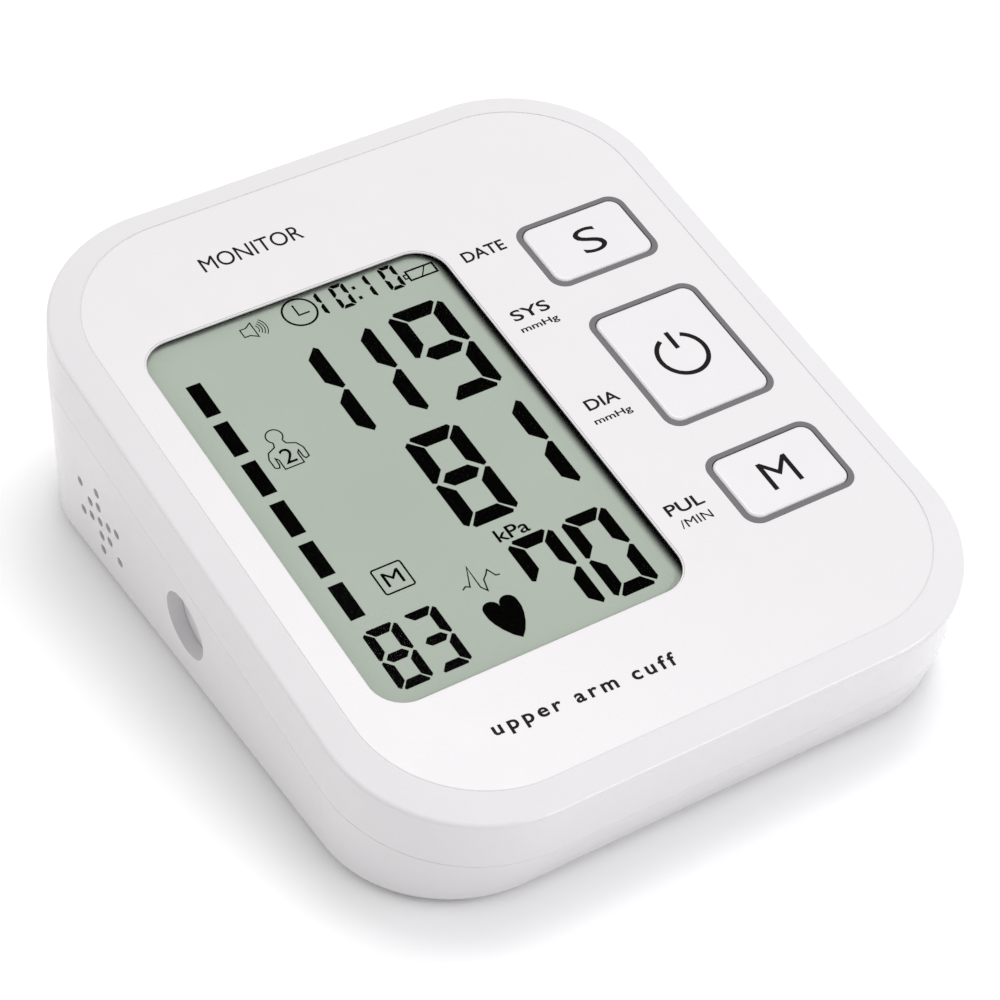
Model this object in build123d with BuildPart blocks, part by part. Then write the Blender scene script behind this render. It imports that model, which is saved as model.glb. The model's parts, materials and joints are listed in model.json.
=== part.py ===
from build123d import *
import math
import os

os.makedirs("parts", exist_ok=True)

# Driving dimensions, in millimetres and degrees.
# The origin is on the floor, under the middle of the case: +X right, +Y to the back, +Z up.
case_width = 116.5
face_length = 139.7          # along the sloping face
face_tilt = 9.7              # the face rises towards the back
face_corner = 26.3
face_mid_y = -1.24
face_mid_z = 35.65
band_width = 5.1             # sloping band between the face panel and the side wall
band_drop = 1.5
parting_depth = 12.1         # below the face, parallel to it
wall = 2.2
base_width = 114.6
base_length = 133.3
base_mid_y = 3.1
base_corner = 22.7
base_round = 1.2
rim_round = 0.8
line_chamfer = 0.2           # on the lower cover's edge, along the parting line
foot_height = 1.2
foot_radius = 5.0
case_height = 60.0           # taller than the case, for cuts that pass right through

panel_thickness = 2.0
deck_thickness = 2.0
panel_gap = 0.07
window_width = 58.2
window_length = 83.6
window_corner = 6.2
window_u = -18.2             # across the face
window_v = -1.3              # up the slope
bezel_width = 0.3

button_u = 35.7
button_width = 22.2
small_button_length = 15.8
power_button_length = 27.9
set_button_v = 28.7
power_button_v = -0.9
memory_button_v = -30.4
button_corner = 3.0
ring_width = 0.95
button_gap = 0.15
button_travel = 0.8
cap_rise = 0.35
flange_reach = 1.0
flange_thickness = 1.15

lens_top = -0.4              # the lens lies in a rebate under the panel's lip
lens_thickness = 0.8
lens_clearance = 0.1
film_thickness = 0.2
glass_thickness = 1.1
board_depth = 8.0
board_thickness = 1.6
board_width = 98.0
board_length = 112.0

grille_y = 34.1
grille_z = 13.0
grille_hole = 1.9
grille_pitch = 3.25
socket_y = 3.3
socket_z = 13.9
socket_recess = 12.4
socket_bore = 4.2
socket_bore_length = 7.0

cell_radius = 7.1
cell_length = 49.2
cell_pitch = 14.6
cell_count = 4
bay_x = 6.0
bay_y = 5.5
bay_width = 59.4
bay_length = 58.0
bay_ceiling = 18.3
bay_wall = 1.5
door_thickness = 1.8
door_gap = 0.3
barrel_radius = 1.5
trunnion_radius = 0.8

pump_y = 51.5
pump_z = 17.7
head_start_x = -31.0
head_length = 24.0
head_radius = 13.3
motor_radius = 12.2
motor_length = 30.8

valve_x = -43.0
valve_y = -36.0
valve_z = 9.6

screw_x = 38.0
front_screw_y = -56.5
back_screw_y = 61.6

face = Plane(
    origin=(0, face_mid_y, face_mid_z),
    x_dir=(1, 0, 0),
    z_dir=(0, -math.sin(math.radians(face_tilt)), math.cos(math.radians(face_tilt))),
)
parting = face.offset(-parting_depth)
deck_top = -panel_thickness
deck_bottom = deck_top - deck_thickness
floor_z = foot_height + wall
seam_width = case_width - 2 * band_width
seam_length = face_length - 2 * band_width
seam_corner = face_corner - band_width + 1.0


def slab(plane, size, corner, height, centre=(0, 0), mode=Mode.ADD):
    """A plate with rounded corners, raised from a plane."""
    with BuildSketch(plane) as outline:
        with Locations(centre):
            RectangleRounded(size[0], size[1], corner)
    extrude(outline.sketch, amount=height, mode=mode)


def block(plane, size, height, centre=(0, 0), mode=Mode.ADD):
    """A plate with square corners, raised from a plane."""
    with BuildSketch(plane) as outline:
        with Locations(centre):
            Rectangle(size[0], size[1])
    extrude(outline.sketch, amount=height, mode=mode)


def disc(plane, radius, height, centre=(0, 0), mode=Mode.ADD):
    """A round bar, raised from a plane."""
    with BuildSketch(plane) as outline:
        with Locations(centre):
            Circle(radius)
    extrude(outline.sketch, amount=height, mode=mode)


def face_point(u, v, w):
    """The place of a point given across, up and out of the sloping face."""
    return face.from_local_coords(Vector(u, v, w))


def parting_height(y):
    """Height of the parting plane above the floor, at a distance towards the back."""
    slope = math.radians(face_tilt)
    start = face_point(0, 0, -parting_depth)
    return start.Z + (y - start.Y) * math.tan(slope)


def edges_at_depth(item, depth):
    """The edges of a piece that lie a given depth below the face plane."""
    face_axis = Axis(face.origin, face.z_dir)
    return item.edges().filter_by_position(face_axis, -depth - 0.01, -depth + 0.01)


def bar_x(start, end, radius, y, z, mode=Mode.ADD):
    """A round bar along X."""
    disc(Plane(origin=(start, y, z), z_dir=(1, 0, 0)), radius, end - start, mode=mode)


def bar_y(start, end, radius, x, z, mode=Mode.ADD):
    """A round bar along Y."""
    disc(Plane(origin=(x, start, z), z_dir=(0, 1, 0)), radius, end - start, mode=mode)


def bar_z(start, end, radius, x, y, mode=Mode.ADD):
    """A round bar along Z."""
    disc(Plane(origin=(x, y, start)), radius, end - start, mode=mode)


def save(item, name):
    """Label a finished piece and write it."""
    item.part.label = name
    export_step(item.part, "parts/" + name + ".step")


# ---- housing ----

def wedge(inset, base_height):
    """The lower half of the case, shrunk by an inset, from the parting plane to the base."""
    with BuildPart() as body:
        with BuildSketch(parting):
            RectangleRounded(case_width - 2 * inset, face_length - 2 * inset, face_corner - inset)
        with BuildSketch(Plane.XY.offset(base_height)):
            with Locations((0, base_mid_y)):
                RectangleRounded(base_width - 2 * inset, base_length - 2 * inset, base_corner - inset)
        loft(ruled=True)
    return body


outer_wedge = wedge(0, foot_height)
inner_wedge = wedge(wall, floor_z)

screw_places = [(x, y) for x in (-screw_x, screw_x) for y in (front_screw_y, back_screw_y)]
screw_seat_depth = 8.0
screw_length = 13.5
screw_radius = 1.2
column_radius = 3.4
head_radius_screw = 2.4

speaker_radius = 10.0
speaker_z = 13.7
speaker_front = -54.8
speaker_depth = 4.2
rib_thickness = 1.5
socket_front = -55.0
collar_start = -56.6
flange_depth = 1.8
socket_barrel = 3.5

with BuildPart() as lower_columns:
    for place in screw_places:
        disc(Plane.XY.offset(foot_height + 0.5), column_radius, case_height, centre=place)
    split(bisect_by=parting, keep=Keep.BOTTOM)

with BuildPart() as upper_columns:
    for place in screw_places:
        disc(Plane.XY, column_radius, case_height, centre=place)
    split(bisect_by=parting, keep=Keep.TOP)
    split(bisect_by=face.offset(deck_bottom + 0.5), keep=Keep.BOTTOM)

grille_row = (1, 0.17)       # the rows follow the slope of the face
grille_places = [(0, 0)]
for ring in (1, 2):
    for across, up in ((0, 1), (1, 0.5), (1, -0.5), (0, -1), (-1, -0.5), (-1, 0.5)):
        grille_places.append((ring * across, ring * up))
grille_points = [
    (
        grille_y + across * grille_pitch,
        grille_z + up * grille_pitch + across * grille_pitch * grille_row[1],
    )
    for across, up in grille_places
]
foot_places = [(-44, -50), (44, -50), (-44, 56), (44, 56)]
foot_recess = 0.4
left_wall = Plane(origin=(-case_width / 2 - 5, 0, 0), x_dir=(0, 1, 0), z_dir=(1, 0, 0))
wall_cut = 10.0

door_width = bay_width + 4.0
door_front = bay_y - bay_length / 2 - 3.2
door_back = bay_y + bay_length / 2 + 2.0
door_length = door_back - door_front
door_mid_y = (door_front + door_back) / 2
hinge_y = door_front + barrel_radius
hinge_z = foot_height + barrel_radius
surround_height = 5.2
tongue_width = 14.0
tongue_reach = 1.6
scoop_length = 5.0
seat_z = foot_height + door_thickness + 0.1
trunnion_reach = 1.2

with BuildPart() as rim_cutter:
    slab(
        parting.offset(-line_chamfer),
        (case_width + 2, face_length + 2),
        face_corner + 1,
        line_chamfer + 0.5,
    )
    with BuildSketch(parting.offset(-line_chamfer)):
        RectangleRounded(case_width, face_length, face_corner)
    with BuildSketch(parting.offset(0.5)):
        rim_inset = line_chamfer + 0.5
        RectangleRounded(case_width - 2 * rim_inset, face_length - 2 * rim_inset, face_corner - rim_inset)
    loft(ruled=True, mode=Mode.SUBTRACT)

with BuildPart() as lower_cover:
    add(outer_wedge.part)
    add(rim_cutter.part, mode=Mode.SUBTRACT)
    fillet(lower_cover.faces().sort_by(Axis.Z)[0].edges(), radius=base_round)
    add(inner_wedge.part, mode=Mode.SUBTRACT)
    add(lower_columns.part)
    # battery bay: a box that hangs over the door opening
    block(
        Plane.XY.offset(foot_height + 0.5),
        (bay_width + 2 * bay_wall, bay_length + 2 * bay_wall),
        bay_ceiling + bay_wall - foot_height - 0.5,
        centre=(bay_x, bay_y),
    )
    block(
        Plane.XY.offset(foot_height + 0.5),
        (door_width + 6, door_length + 6),
        surround_height - 0.5,
        centre=(bay_x, door_mid_y),
    )
    block(
        Plane.XY.offset(0),
        (bay_width, bay_length),
        bay_ceiling,
        centre=(bay_x, bay_y),
        mode=Mode.SUBTRACT,
    )
    # rebate for the door plate, the hinge barrel's trough and the tongue's notch
    block(
        Plane.XY.offset(0),
        (door_width + 2 * door_gap, door_length + 2 * door_gap),
        seat_z,
        centre=(bay_x, door_mid_y),
        mode=Mode.SUBTRACT,
    )
    block(
        Plane.XY.offset(0),
        (door_width + 2 * door_gap, 2 * (barrel_radius + door_gap)),
        hinge_z + barrel_radius + door_gap,
        centre=(bay_x, hinge_y),
        mode=Mode.SUBTRACT,
    )
    block(
        Plane.XY.offset(0),
        (tongue_width + 1, 2 * (tongue_reach + door_gap)),
        seat_z,
        centre=(bay_x, door_back),
        mode=Mode.SUBTRACT,
    )
    slab(
        Plane.XY.offset(0),
        (tongue_width + 4, 2 * scoop_length),
        2.0,
        foot_height + 1.0,
        centre=(bay_x, door_back),
        mode=Mode.SUBTRACT,
    )
    disc(
        Plane(origin=(bay_x - door_width / 2 - 2.2, hinge_y, hinge_z), z_dir=(1, 0, 0)),
        trunnion_radius + 0.1,
        door_width + 4.4,
        mode=Mode.SUBTRACT,
    )
    for place in foot_places:
        disc(Plane.XY, foot_radius + 0.2, foot_height + foot_recess, centre=place, mode=Mode.SUBTRACT)
    # screw holes: a wide one for the head from below, a narrow one for the shank
    for place in screw_places:
        seat = parting_height(place[1]) - screw_seat_depth
        disc(Plane.XY, head_radius_screw + 0.3, seat, centre=place, mode=Mode.SUBTRACT)
        disc(Plane.XY, screw_radius + 0.25, case_height, centre=place, mode=Mode.SUBTRACT)
    # speaker holes and the round recess over the air socket
    for place in grille_points:
        disc(left_wall, grille_hole / 2, wall_cut, centre=place, mode=Mode.SUBTRACT)
    # the recess reaches in to the air socket's flange through a short collar
    bar_x(collar_start, socket_front - 0.05, socket_recess / 2 + 1.2, socket_y, socket_z)
    disc(left_wall, socket_recess / 2, wall_cut, centre=(socket_y, socket_z), mode=Mode.SUBTRACT)
    # ribs that hold the speaker and the air socket's flange against the left wall
    for offset in (-1, 1):
        block(
            Plane.XY.offset(floor_z - 0.5),
            (speaker_depth, rib_thickness),
            14.0,
            centre=(speaker_front + speaker_depth / 2, grille_y + offset * (speaker_radius + 1.1)),
        )
    block(
        Plane.XY.offset(floor_z - 0.5),
        (rib_thickness, 17.0),
        socket_z - floor_z,
        centre=(socket_front + flange_depth + 0.1 + rib_thickness / 2, socket_y),
    )
    bar_x(
        socket_front + flange_depth - 0.5,
        socket_front + flange_depth + rib_thickness + 0.6,
        socket_barrel + 0.3,
        socket_y,
        socket_z,
        mode=Mode.SUBTRACT,
    )
save(lower_cover, "lower_cover")

board_mid = (-1.0, -1.0)
board_screw_places = [(u, v) for u in (-44, 42) for v in (-51, 49.5)]
board_top = -board_depth
board_bottom = board_top - board_thickness
boss_radius = 2.8
board_screw_radius = 0.95
button_lengths = {
    set_button_v: small_button_length,
    power_button_v: power_button_length,
    memory_button_v: small_button_length,
}
ring_reach = ring_width + button_gap
glass_opening = (window_width + 3.4, window_length + 3.4)


def cap_size(length, extra=0.0):
    """Width and length of a button cap whose outline ring is this long."""
    return (button_width - 2 * ring_reach + 2 * extra, length - 2 * ring_reach + 2 * extra)


with BuildPart() as upper_cover:
    slab(parting, (case_width, face_length), face_corner, parting_depth - band_drop)
    with BuildSketch(face.offset(-band_drop)):
        RectangleRounded(case_width, face_length, face_corner)
    with BuildSketch(face):
        RectangleRounded(seam_width, seam_length, seam_corner)
    loft(ruled=True)
    fillet(edges_at_depth(upper_cover, band_drop), radius=rim_round)
    slab(face.offset(deck_top), (seam_width, seam_length), seam_corner, 5, mode=Mode.SUBTRACT)
    slab(
        parting,
        (case_width - 2 * wall, face_length - 2 * wall),
        face_corner - wall,
        parting_depth + deck_bottom,
        mode=Mode.SUBTRACT,
    )
    add(upper_columns.part)
    for place in board_screw_places:
        disc(face.offset(board_top), boss_radius, deck_bottom - board_top + 0.5, centre=place)
        disc(face.offset(board_top), board_screw_radius + 0.05, 4.6, centre=place, mode=Mode.SUBTRACT)
    for place in screw_places:
        pilot_top = parting_height(place[1]) - screw_seat_depth + screw_length + 0.5
        disc(Plane.XY, screw_radius + 0.05, pilot_top, centre=place, mode=Mode.SUBTRACT)
    # openings in the deck, for the display and the button caps
    slab(
        face.offset(deck_bottom - 1),
        glass_opening,
        1.0,
        deck_thickness + 2,
        centre=(window_u, window_v),
        mode=Mode.SUBTRACT,
    )
    for v, length in button_lengths.items():
        slab(
            face.offset(deck_bottom - 1),
            cap_size(length, 0.2),
            button_corner - ring_width,
            deck_thickness + 2,
            centre=(button_u, v),
            mode=Mode.SUBTRACT,
        )
save(upper_cover, "upper_cover")

# ---- face panel and display ----

with BuildPart() as face_panel:
    slab(
        face.offset(deck_top),
        (seam_width - 2 * panel_gap, seam_length - 2 * panel_gap),
        seam_corner - panel_gap,
        panel_thickness,
    )
    fillet(edges_at_depth(face_panel, 0), radius=0.35)
    slab(
        face.offset(deck_top),
        (window_width, window_length),
        window_corner,
        panel_thickness,
        centre=(window_u, window_v),
        mode=Mode.SUBTRACT,
    )
    slab(
        face.offset(deck_top),
        glass_opening,
        1.0,
        lens_top - deck_top,
        centre=(window_u, window_v),
        mode=Mode.SUBTRACT,
    )
    for v, length in button_lengths.items():
        slab(
            face.offset(deck_top),
            (button_width, length),
            button_corner,
            panel_thickness,
            centre=(button_u, v),
            mode=Mode.SUBTRACT,
        )
save(face_panel, "face_panel")

with BuildPart() as window_bezel:
    slab(
        face.offset(lens_top),
        (window_width - 0.06, window_length - 0.06),
        window_corner - 0.03,
        -lens_top - 0.12,
        centre=(window_u, window_v),
    )
    slab(
        face.offset(lens_top),
        (window_width - 2 * bezel_width, window_length - 2 * bezel_width),
        window_corner - bezel_width,
        panel_thickness,
        centre=(window_u, window_v),
        mode=Mode.SUBTRACT,
    )
save(window_bezel, "window_bezel")


def display_layer(name, size, corner, top, thickness):
    """One flat layer of the display, at a depth below the face."""
    with BuildPart() as layer:
        slab(face.offset(top - thickness), size, corner, thickness, centre=(window_u, window_v))
    save(layer, name)


film_top = lens_top - lens_thickness - lens_clearance
front_glass_top = film_top - film_thickness
rear_glass_top = front_glass_top - glass_thickness
reflector_top = rear_glass_top - glass_thickness
glass_width = glass_opening[0] - 1.2
glass_length = glass_opening[1] - 1.2
ledge = 2.4                  # the front glass reaches past the rear glass at both ends
display_layer(
    "display_lens", (window_width + 3, window_length + 3), 1.0, lens_top, lens_thickness
)
display_layer("front_polariser", (glass_width - 1, glass_length - 1), 0.5, film_top, film_thickness)
display_layer("lcd_front_glass", (glass_width, glass_length), 0.3, front_glass_top, glass_thickness)
display_layer(
    "lcd_rear_glass", (glass_width, glass_length - 2 * ledge), 0.3, rear_glass_top, glass_thickness
)
display_layer(
    "rear_reflector",
    (glass_width - 1, glass_length - 2 * ledge - 1),
    0.5,
    reflector_top,
    film_thickness,
)

frame_floor_top = reflector_top - film_thickness
frame_floor = 0.6
frame_wall = 2.4
zebra_width = 1.8
zebra_length = 56.0
zebra_v = (glass_length - ledge) / 2
zebra_places = [(window_u, window_v - zebra_v), (window_u, window_v + zebra_v)]

with BuildPart() as display_frame:
    slab(
        face.offset(board_top),
        (glass_width + 2 * frame_wall, glass_length + 2 * frame_wall),
        1.5,
        deck_bottom - 0.15 - board_top,
        centre=(window_u, window_v),
    )
    slab(
        face.offset(frame_floor_top - frame_floor),
        (glass_width, glass_length),
        0.5,
        frame_floor,
        centre=(window_u, window_v),
    )
    slab(
        face.offset(board_top),
        (glass_width - 1, glass_length + 0.4),
        0.5,
        frame_floor_top - frame_floor - board_top,
        centre=(window_u, window_v),
        mode=Mode.SUBTRACT,
    )
    for place in zebra_places:
        block(
            face.offset(board_top),
            (zebra_length + 0.4, zebra_width + 0.4),
            frame_floor_top + 0.5 - board_top,
            centre=place,
            mode=Mode.SUBTRACT,
        )
save(display_frame, "display_frame")

with BuildPart() as zebra_strips:
    for place in zebra_places:
        block(face.offset(board_top), (zebra_length, zebra_width), rear_glass_top - board_top, centre=place)
save(zebra_strips, "zebra_strips")

# ---- buttons ----

flange_top = deck_bottom - 0.15
flange_bottom = flange_top - flange_thickness
stem_bottom = flange_bottom - 0.3
switch_height = 1.5
switch_size = 6.2
plunger_size = 3.0
plunger_play = 0.1
plunger_length = stem_bottom - board_top - button_travel - plunger_play

with BuildPart() as button_rings:
    for v, length in button_lengths.items():
        slab(
            face.offset(deck_top),
            (button_width - 0.06, length - 0.06),
            button_corner - 0.03,
            panel_thickness + 0.06,
            centre=(button_u, v),
        )
        slab(
            face.offset(deck_top),
            (button_width - 2 * ring_width, length - 2 * ring_width),
            button_corner - ring_width + 0.3,
            panel_thickness + 1,
            centre=(button_u, v),
            mode=Mode.SUBTRACT,
        )
save(button_rings, "button_rings")


def button(name, v):
    """A button: soft-edged cap, the flange that keeps it in, and the stem that presses its switch."""
    length = button_lengths[v]
    with BuildPart() as cap:
        slab(
            face.offset(flange_top),
            cap_size(length),
            button_corner - ring_reach + 0.3,
            cap_rise - flange_top,
            centre=(button_u, v),
        )
        fillet(edges_at_depth(cap, -cap_rise), radius=0.6)
        slab(
            face.offset(flange_bottom),
            cap_size(length, flange_reach),
            1.5,
            flange_thickness,
            centre=(button_u, v),
        )
        block(face.offset(stem_bottom), (5, 5), flange_bottom - stem_bottom, centre=(button_u, v))
    save(cap, name + "_button")
    with BuildPart() as plunger:
        block(
            face.offset(stem_bottom - plunger_length),
            (plunger_size, plunger_size),
            plunger_length,
            centre=(button_u, v),
        )
    save(plunger, name + "_switch_plunger")


button("set", set_button_v)
button("power", power_button_v)
button("memory", memory_button_v)

with BuildPart() as switch_bodies:
    for v in button_lengths:
        block(face.offset(board_top), (switch_size, switch_size), switch_height, centre=(button_u, v))
        block(
            face.offset(board_top),
            (plunger_size + 0.6, plunger_size + 0.6),
            switch_height,
            centre=(button_u, v),
            mode=Mode.SUBTRACT,
        )
save(switch_bodies, "switch_bodies")

# ---- main board and what is soldered to it ----

with BuildPart() as main_board:
    slab(face.offset(board_bottom), (board_width, board_length), 8.0, board_thickness, centre=board_mid)
    for place in board_screw_places:
        disc(
            face.offset(board_bottom),
            board_screw_radius + 0.3,
            board_thickness,
            centre=place,
            mode=Mode.SUBTRACT,
        )
    # notches that clear the case's screw columns
    for place in screw_places:
        disc(Plane.XY, column_radius + 0.8, case_height, centre=place, mode=Mode.SUBTRACT)
save(main_board, "main_board")

with BuildPart() as board_screws:
    for place in board_screw_places:
        disc(face.offset(board_bottom - 1.2), 2.0, 1.2, centre=place)
        disc(face.offset(board_bottom - 1.2), board_screw_radius, 6.4, centre=place)
        block(face.offset(board_bottom - 1.2), (2.4, 0.5), 0.6, centre=place, mode=Mode.SUBTRACT)
        block(face.offset(board_bottom - 1.2), (0.5, 2.4), 0.6, centre=place, mode=Mode.SUBTRACT)
save(board_screws, "board_screws")


def board_blocks(name, places, size, height):
    """Square components that hang under the main board."""
    with BuildPart() as parts:
        for place in places:
            block(face.offset(board_bottom - height), size, height, centre=place)
    save(parts, name)


connector_height = 3.0
connector_places = {
    "speaker": (-45, 20),
    "valve": (-45, -25),
    "motor": (28, 36),
    "battery": (42, 0),
}
board_blocks("controller_chip", [(-32, -28)], (12, 12), 1.6)
board_blocks("memory_chip", [(-32, -44)], (5, 4), 1.5)
board_blocks("crystal_can", [(-12, -40)], (11, 4.5), 3.5)
board_blocks("wire_connectors", list(connector_places.values()), (6.5, 5), connector_height)

with BuildPart() as board_capacitors:
    for place in ((43, -30), (43, -40)):
        disc(face.offset(board_bottom - 7.0), 3.15, 7.0, centre=place)
save(board_capacitors, "board_capacitors")

# ---- air pump ----

motor_start_x = head_start_x + head_length
cap_depth = 4.0
shell_wall = 2.0
can_wall = 1.0
shaft_radius = 1.0
shaft_play = 0.05
nozzle_radius = 1.9
nozzle_length = 5.0
nozzle_bore = 1.0
diaphragm_x = head_start_x + cap_depth + 5.5
crank_offset = 1.2

with BuildPart() as pump_head:
    bar_x(head_start_x + cap_depth, motor_start_x, head_radius, pump_y, pump_z)
    bar_x(
        head_start_x + cap_depth,
        motor_start_x - shell_wall,
        head_radius - shell_wall,
        pump_y,
        pump_z,
        mode=Mode.SUBTRACT,
    )
    bar_x(motor_start_x - 3, motor_start_x + 1, 4.0, pump_y, pump_z, mode=Mode.SUBTRACT)
save(pump_head, "pump_head")

with BuildPart() as pump_cap:
    bar_x(head_start_x, head_start_x + cap_depth, head_radius, pump_y, pump_z)
    bar_x(
        head_start_x + shell_wall,
        head_start_x + cap_depth,
        head_radius - shell_wall,
        pump_y,
        pump_z,
        mode=Mode.SUBTRACT,
    )
    bar_x(head_start_x - nozzle_length, head_start_x, nozzle_radius, pump_y, pump_z)
    bar_x(
        head_start_x - nozzle_length,
        head_start_x + shell_wall,
        nozzle_bore,
        pump_y,
        pump_z,
        mode=Mode.SUBTRACT,
    )
save(pump_cap, "pump_cap")

with BuildPart() as pump_diaphragm:
    bar_x(diaphragm_x, diaphragm_x + 2, head_radius - shell_wall - 0.1, pump_y, pump_z)
    with BuildSketch(Plane(origin=(diaphragm_x - 3, pump_y, pump_z), z_dir=(1, 0, 0))) as domes:
        with PolarLocations(6.3, 3):
            Circle(3.4)
    extrude(domes.sketch, amount=3.5)
save(pump_diaphragm, "pump_diaphragm")

with BuildPart() as motor_can:
    bar_x(motor_start_x, motor_start_x + motor_length - 2, motor_radius, pump_y, pump_z)
    bar_x(
        motor_start_x + can_wall,
        motor_start_x + motor_length,
        motor_radius - can_wall,
        pump_y,
        pump_z,
        mode=Mode.SUBTRACT,
    )
    bar_x(
        motor_start_x - 1,
        motor_start_x + 2,
        shaft_radius + shaft_play,
        pump_y,
        pump_z,
        mode=Mode.SUBTRACT,
    )
save(motor_can, "motor_can")

cap_x = motor_start_x + motor_length - 2

with BuildPart() as motor_end_cap:
    bar_x(cap_x, cap_x + 2, motor_radius, pump_y, pump_z)
    bar_x(cap_x - 1, cap_x + 1, shaft_radius + shaft_play, pump_y, pump_z, mode=Mode.SUBTRACT)
save(motor_end_cap, "motor_end_cap")

with BuildPart() as motor_magnets:
    bar_x(motor_start_x + 3, cap_x - 5, motor_radius - can_wall - 0.05, pump_y, pump_z)
    bar_x(motor_start_x + 3, cap_x - 5, motor_radius - 3.2, pump_y, pump_z, mode=Mode.SUBTRACT)
    block(
        Plane(origin=(motor_start_x, pump_y, pump_z), z_dir=(1, 0, 0)),
        (2 * motor_radius, 5.0),
        motor_length,
        mode=Mode.SUBTRACT,
    )
save(motor_magnets, "motor_magnets")

with BuildPart() as motor_rotor:
    bar_x(motor_start_x - 9, cap_x + 0.7, shaft_radius, pump_y, pump_z)
    bar_x(motor_start_x + 4, cap_x - 6, motor_radius - 3.8, pump_y, pump_z)
    bar_x(cap_x - 5, cap_x - 1, 3.0, pump_y, pump_z)
    with BuildSketch(Plane(origin=(motor_start_x + 3, pump_y, pump_z), z_dir=(1, 0, 0))) as slots:
        with PolarLocations(motor_radius - 5.3, 5):
            Rectangle(4, 1.2)
    extrude(slots.sketch, amount=motor_length, mode=Mode.SUBTRACT)
save(motor_rotor, "motor_rotor")

with BuildPart() as crank_wheel:
    bar_x(motor_start_x - 8, motor_start_x - 4, 2.4, pump_y, pump_z)
    bar_x(motor_start_x - 7, motor_start_x - 5, 6.0, pump_y, pump_z + crank_offset)
    bar_x(
        motor_start_x - 9,
        motor_start_x - 3,
        shaft_radius + 0.02,
        pump_y,
        pump_z,
        mode=Mode.SUBTRACT,
    )
save(crank_wheel, "crank_wheel")

cradle_width = 5.0
cradle_places = ((head_start_x + 12, head_radius), (motor_start_x + 18, motor_radius))

with BuildPart() as pump_cradles:
    for x, radius in cradle_places:
        block(
            Plane.XY.offset(floor_z),
            (cradle_width, 2 * radius - 3),
            pump_z - 4 - floor_z,
            centre=(x, pump_y + 0.5),
        )
        bar_x(x - cradle_width, x + cradle_width, radius + 0.05, pump_y, pump_z, mode=Mode.SUBTRACT)
save(pump_cradles, "pump_cradles")

# ---- exhaust valve ----

yoke_length = 20.0
yoke_width = 13.0
yoke_height = 12.4
yoke_wall = 1.4
yoke_start = valve_y - yoke_length / 2
yoke_end = valve_y + yoke_length / 2
valve_travel = 1.2
plunger_radius = 2.4
seat_start = yoke_end - 4.5
plunger_tip = seat_start - valve_travel - 0.3

with BuildPart() as valve_yoke:
    block(
        Plane.XY.offset(floor_z),
        (yoke_width, yoke_length),
        yoke_height,
        centre=(valve_x, valve_y),
    )
    block(
        Plane.XY.offset(floor_z + yoke_wall),
        (yoke_width, yoke_length - 2 * yoke_wall),
        yoke_height,
        centre=(valve_x, valve_y),
        mode=Mode.SUBTRACT,
    )
    bar_y(yoke_start, yoke_end, plunger_radius + 0.4, valve_x, valve_z, mode=Mode.SUBTRACT)
save(valve_yoke, "valve_yoke")

with BuildPart() as valve_coil:
    bar_y(yoke_start + yoke_wall + 0.1, yoke_end - yoke_wall - 0.1, 4.7, valve_x, valve_z)
    bar_y(yoke_start, yoke_end, plunger_radius + 0.4, valve_x, valve_z, mode=Mode.SUBTRACT)
save(valve_coil, "valve_coil")

with BuildPart() as valve_plunger:
    bar_y(yoke_start - 2.5, plunger_tip, plunger_radius, valve_x, valve_z)
    bar_y(yoke_start - 3.3, yoke_start - 2.5, plunger_radius + 1, valve_x, valve_z)
save(valve_plunger, "valve_plunger")

with BuildPart() as valve_seat:
    bar_y(seat_start, yoke_end, plunger_radius + 0.3, valve_x, valve_z)
    bar_y(yoke_end, yoke_end + 1.5, 5.0, valve_x, valve_z)
    bar_y(yoke_end + 1.5, yoke_end + 6.5, nozzle_radius, valve_x, valve_z)
    bar_y(seat_start, yoke_end + 7, nozzle_bore, valve_x, valve_z, mode=Mode.SUBTRACT)
save(valve_seat, "valve_seat")

# ---- air path ----

tube_outer = 3.1
tube_inner = 2.0
socket_end = socket_front + socket_bore_length + 0.8
barb_end = socket_end + 4.7
manifold_x = -33.5
manifold_half = 3.5
manifold_barb = 4.6
manifold_reach = manifold_half + manifold_barb
sensor_size = 9.0
sensor_height = 4.5
sensor_port_z = 20.6
face_gap = 0.3

with BuildPart() as air_socket:
    bar_x(socket_front, socket_front + flange_depth, 8.6, socket_y, socket_z)
    bar_x(socket_front + flange_depth, socket_end, socket_barrel, socket_y, socket_z)
    bar_x(socket_end, barb_end, nozzle_radius, socket_y, socket_z)
    bar_x(socket_front, socket_end - 0.8, socket_bore / 2, socket_y, socket_z, mode=Mode.SUBTRACT)
    bar_x(socket_front, barb_end, nozzle_bore, socket_y, socket_z, mode=Mode.SUBTRACT)
save(air_socket, "air_socket")

with BuildPart() as air_manifold:
    block(
        Plane.XY.offset(socket_z - manifold_half),
        (2 * manifold_half, 2 * manifold_half),
        2 * manifold_half,
        centre=(manifold_x, socket_y),
    )
    bar_x(manifold_x - manifold_reach, manifold_x, nozzle_radius, socket_y, socket_z)
    bar_y(socket_y - manifold_reach, socket_y + manifold_reach, nozzle_radius, manifold_x, socket_z)
    bar_z(socket_z, socket_z + manifold_half + 2.2, nozzle_radius, manifold_x, socket_y)
    bar_x(manifold_x - manifold_reach, manifold_x, nozzle_bore, socket_y, socket_z, mode=Mode.SUBTRACT)
    bar_y(
        socket_y - manifold_reach,
        socket_y + manifold_reach,
        nozzle_bore,
        manifold_x,
        socket_z,
        mode=Mode.SUBTRACT,
    )
    bar_z(socket_z, socket_z + manifold_reach, nozzle_bore, manifold_x, socket_y, mode=Mode.SUBTRACT)
save(air_manifold, "air_manifold")

sensor_v = (socket_y - face_mid_y) / math.cos(math.radians(face_tilt)) - 1.7

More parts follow.
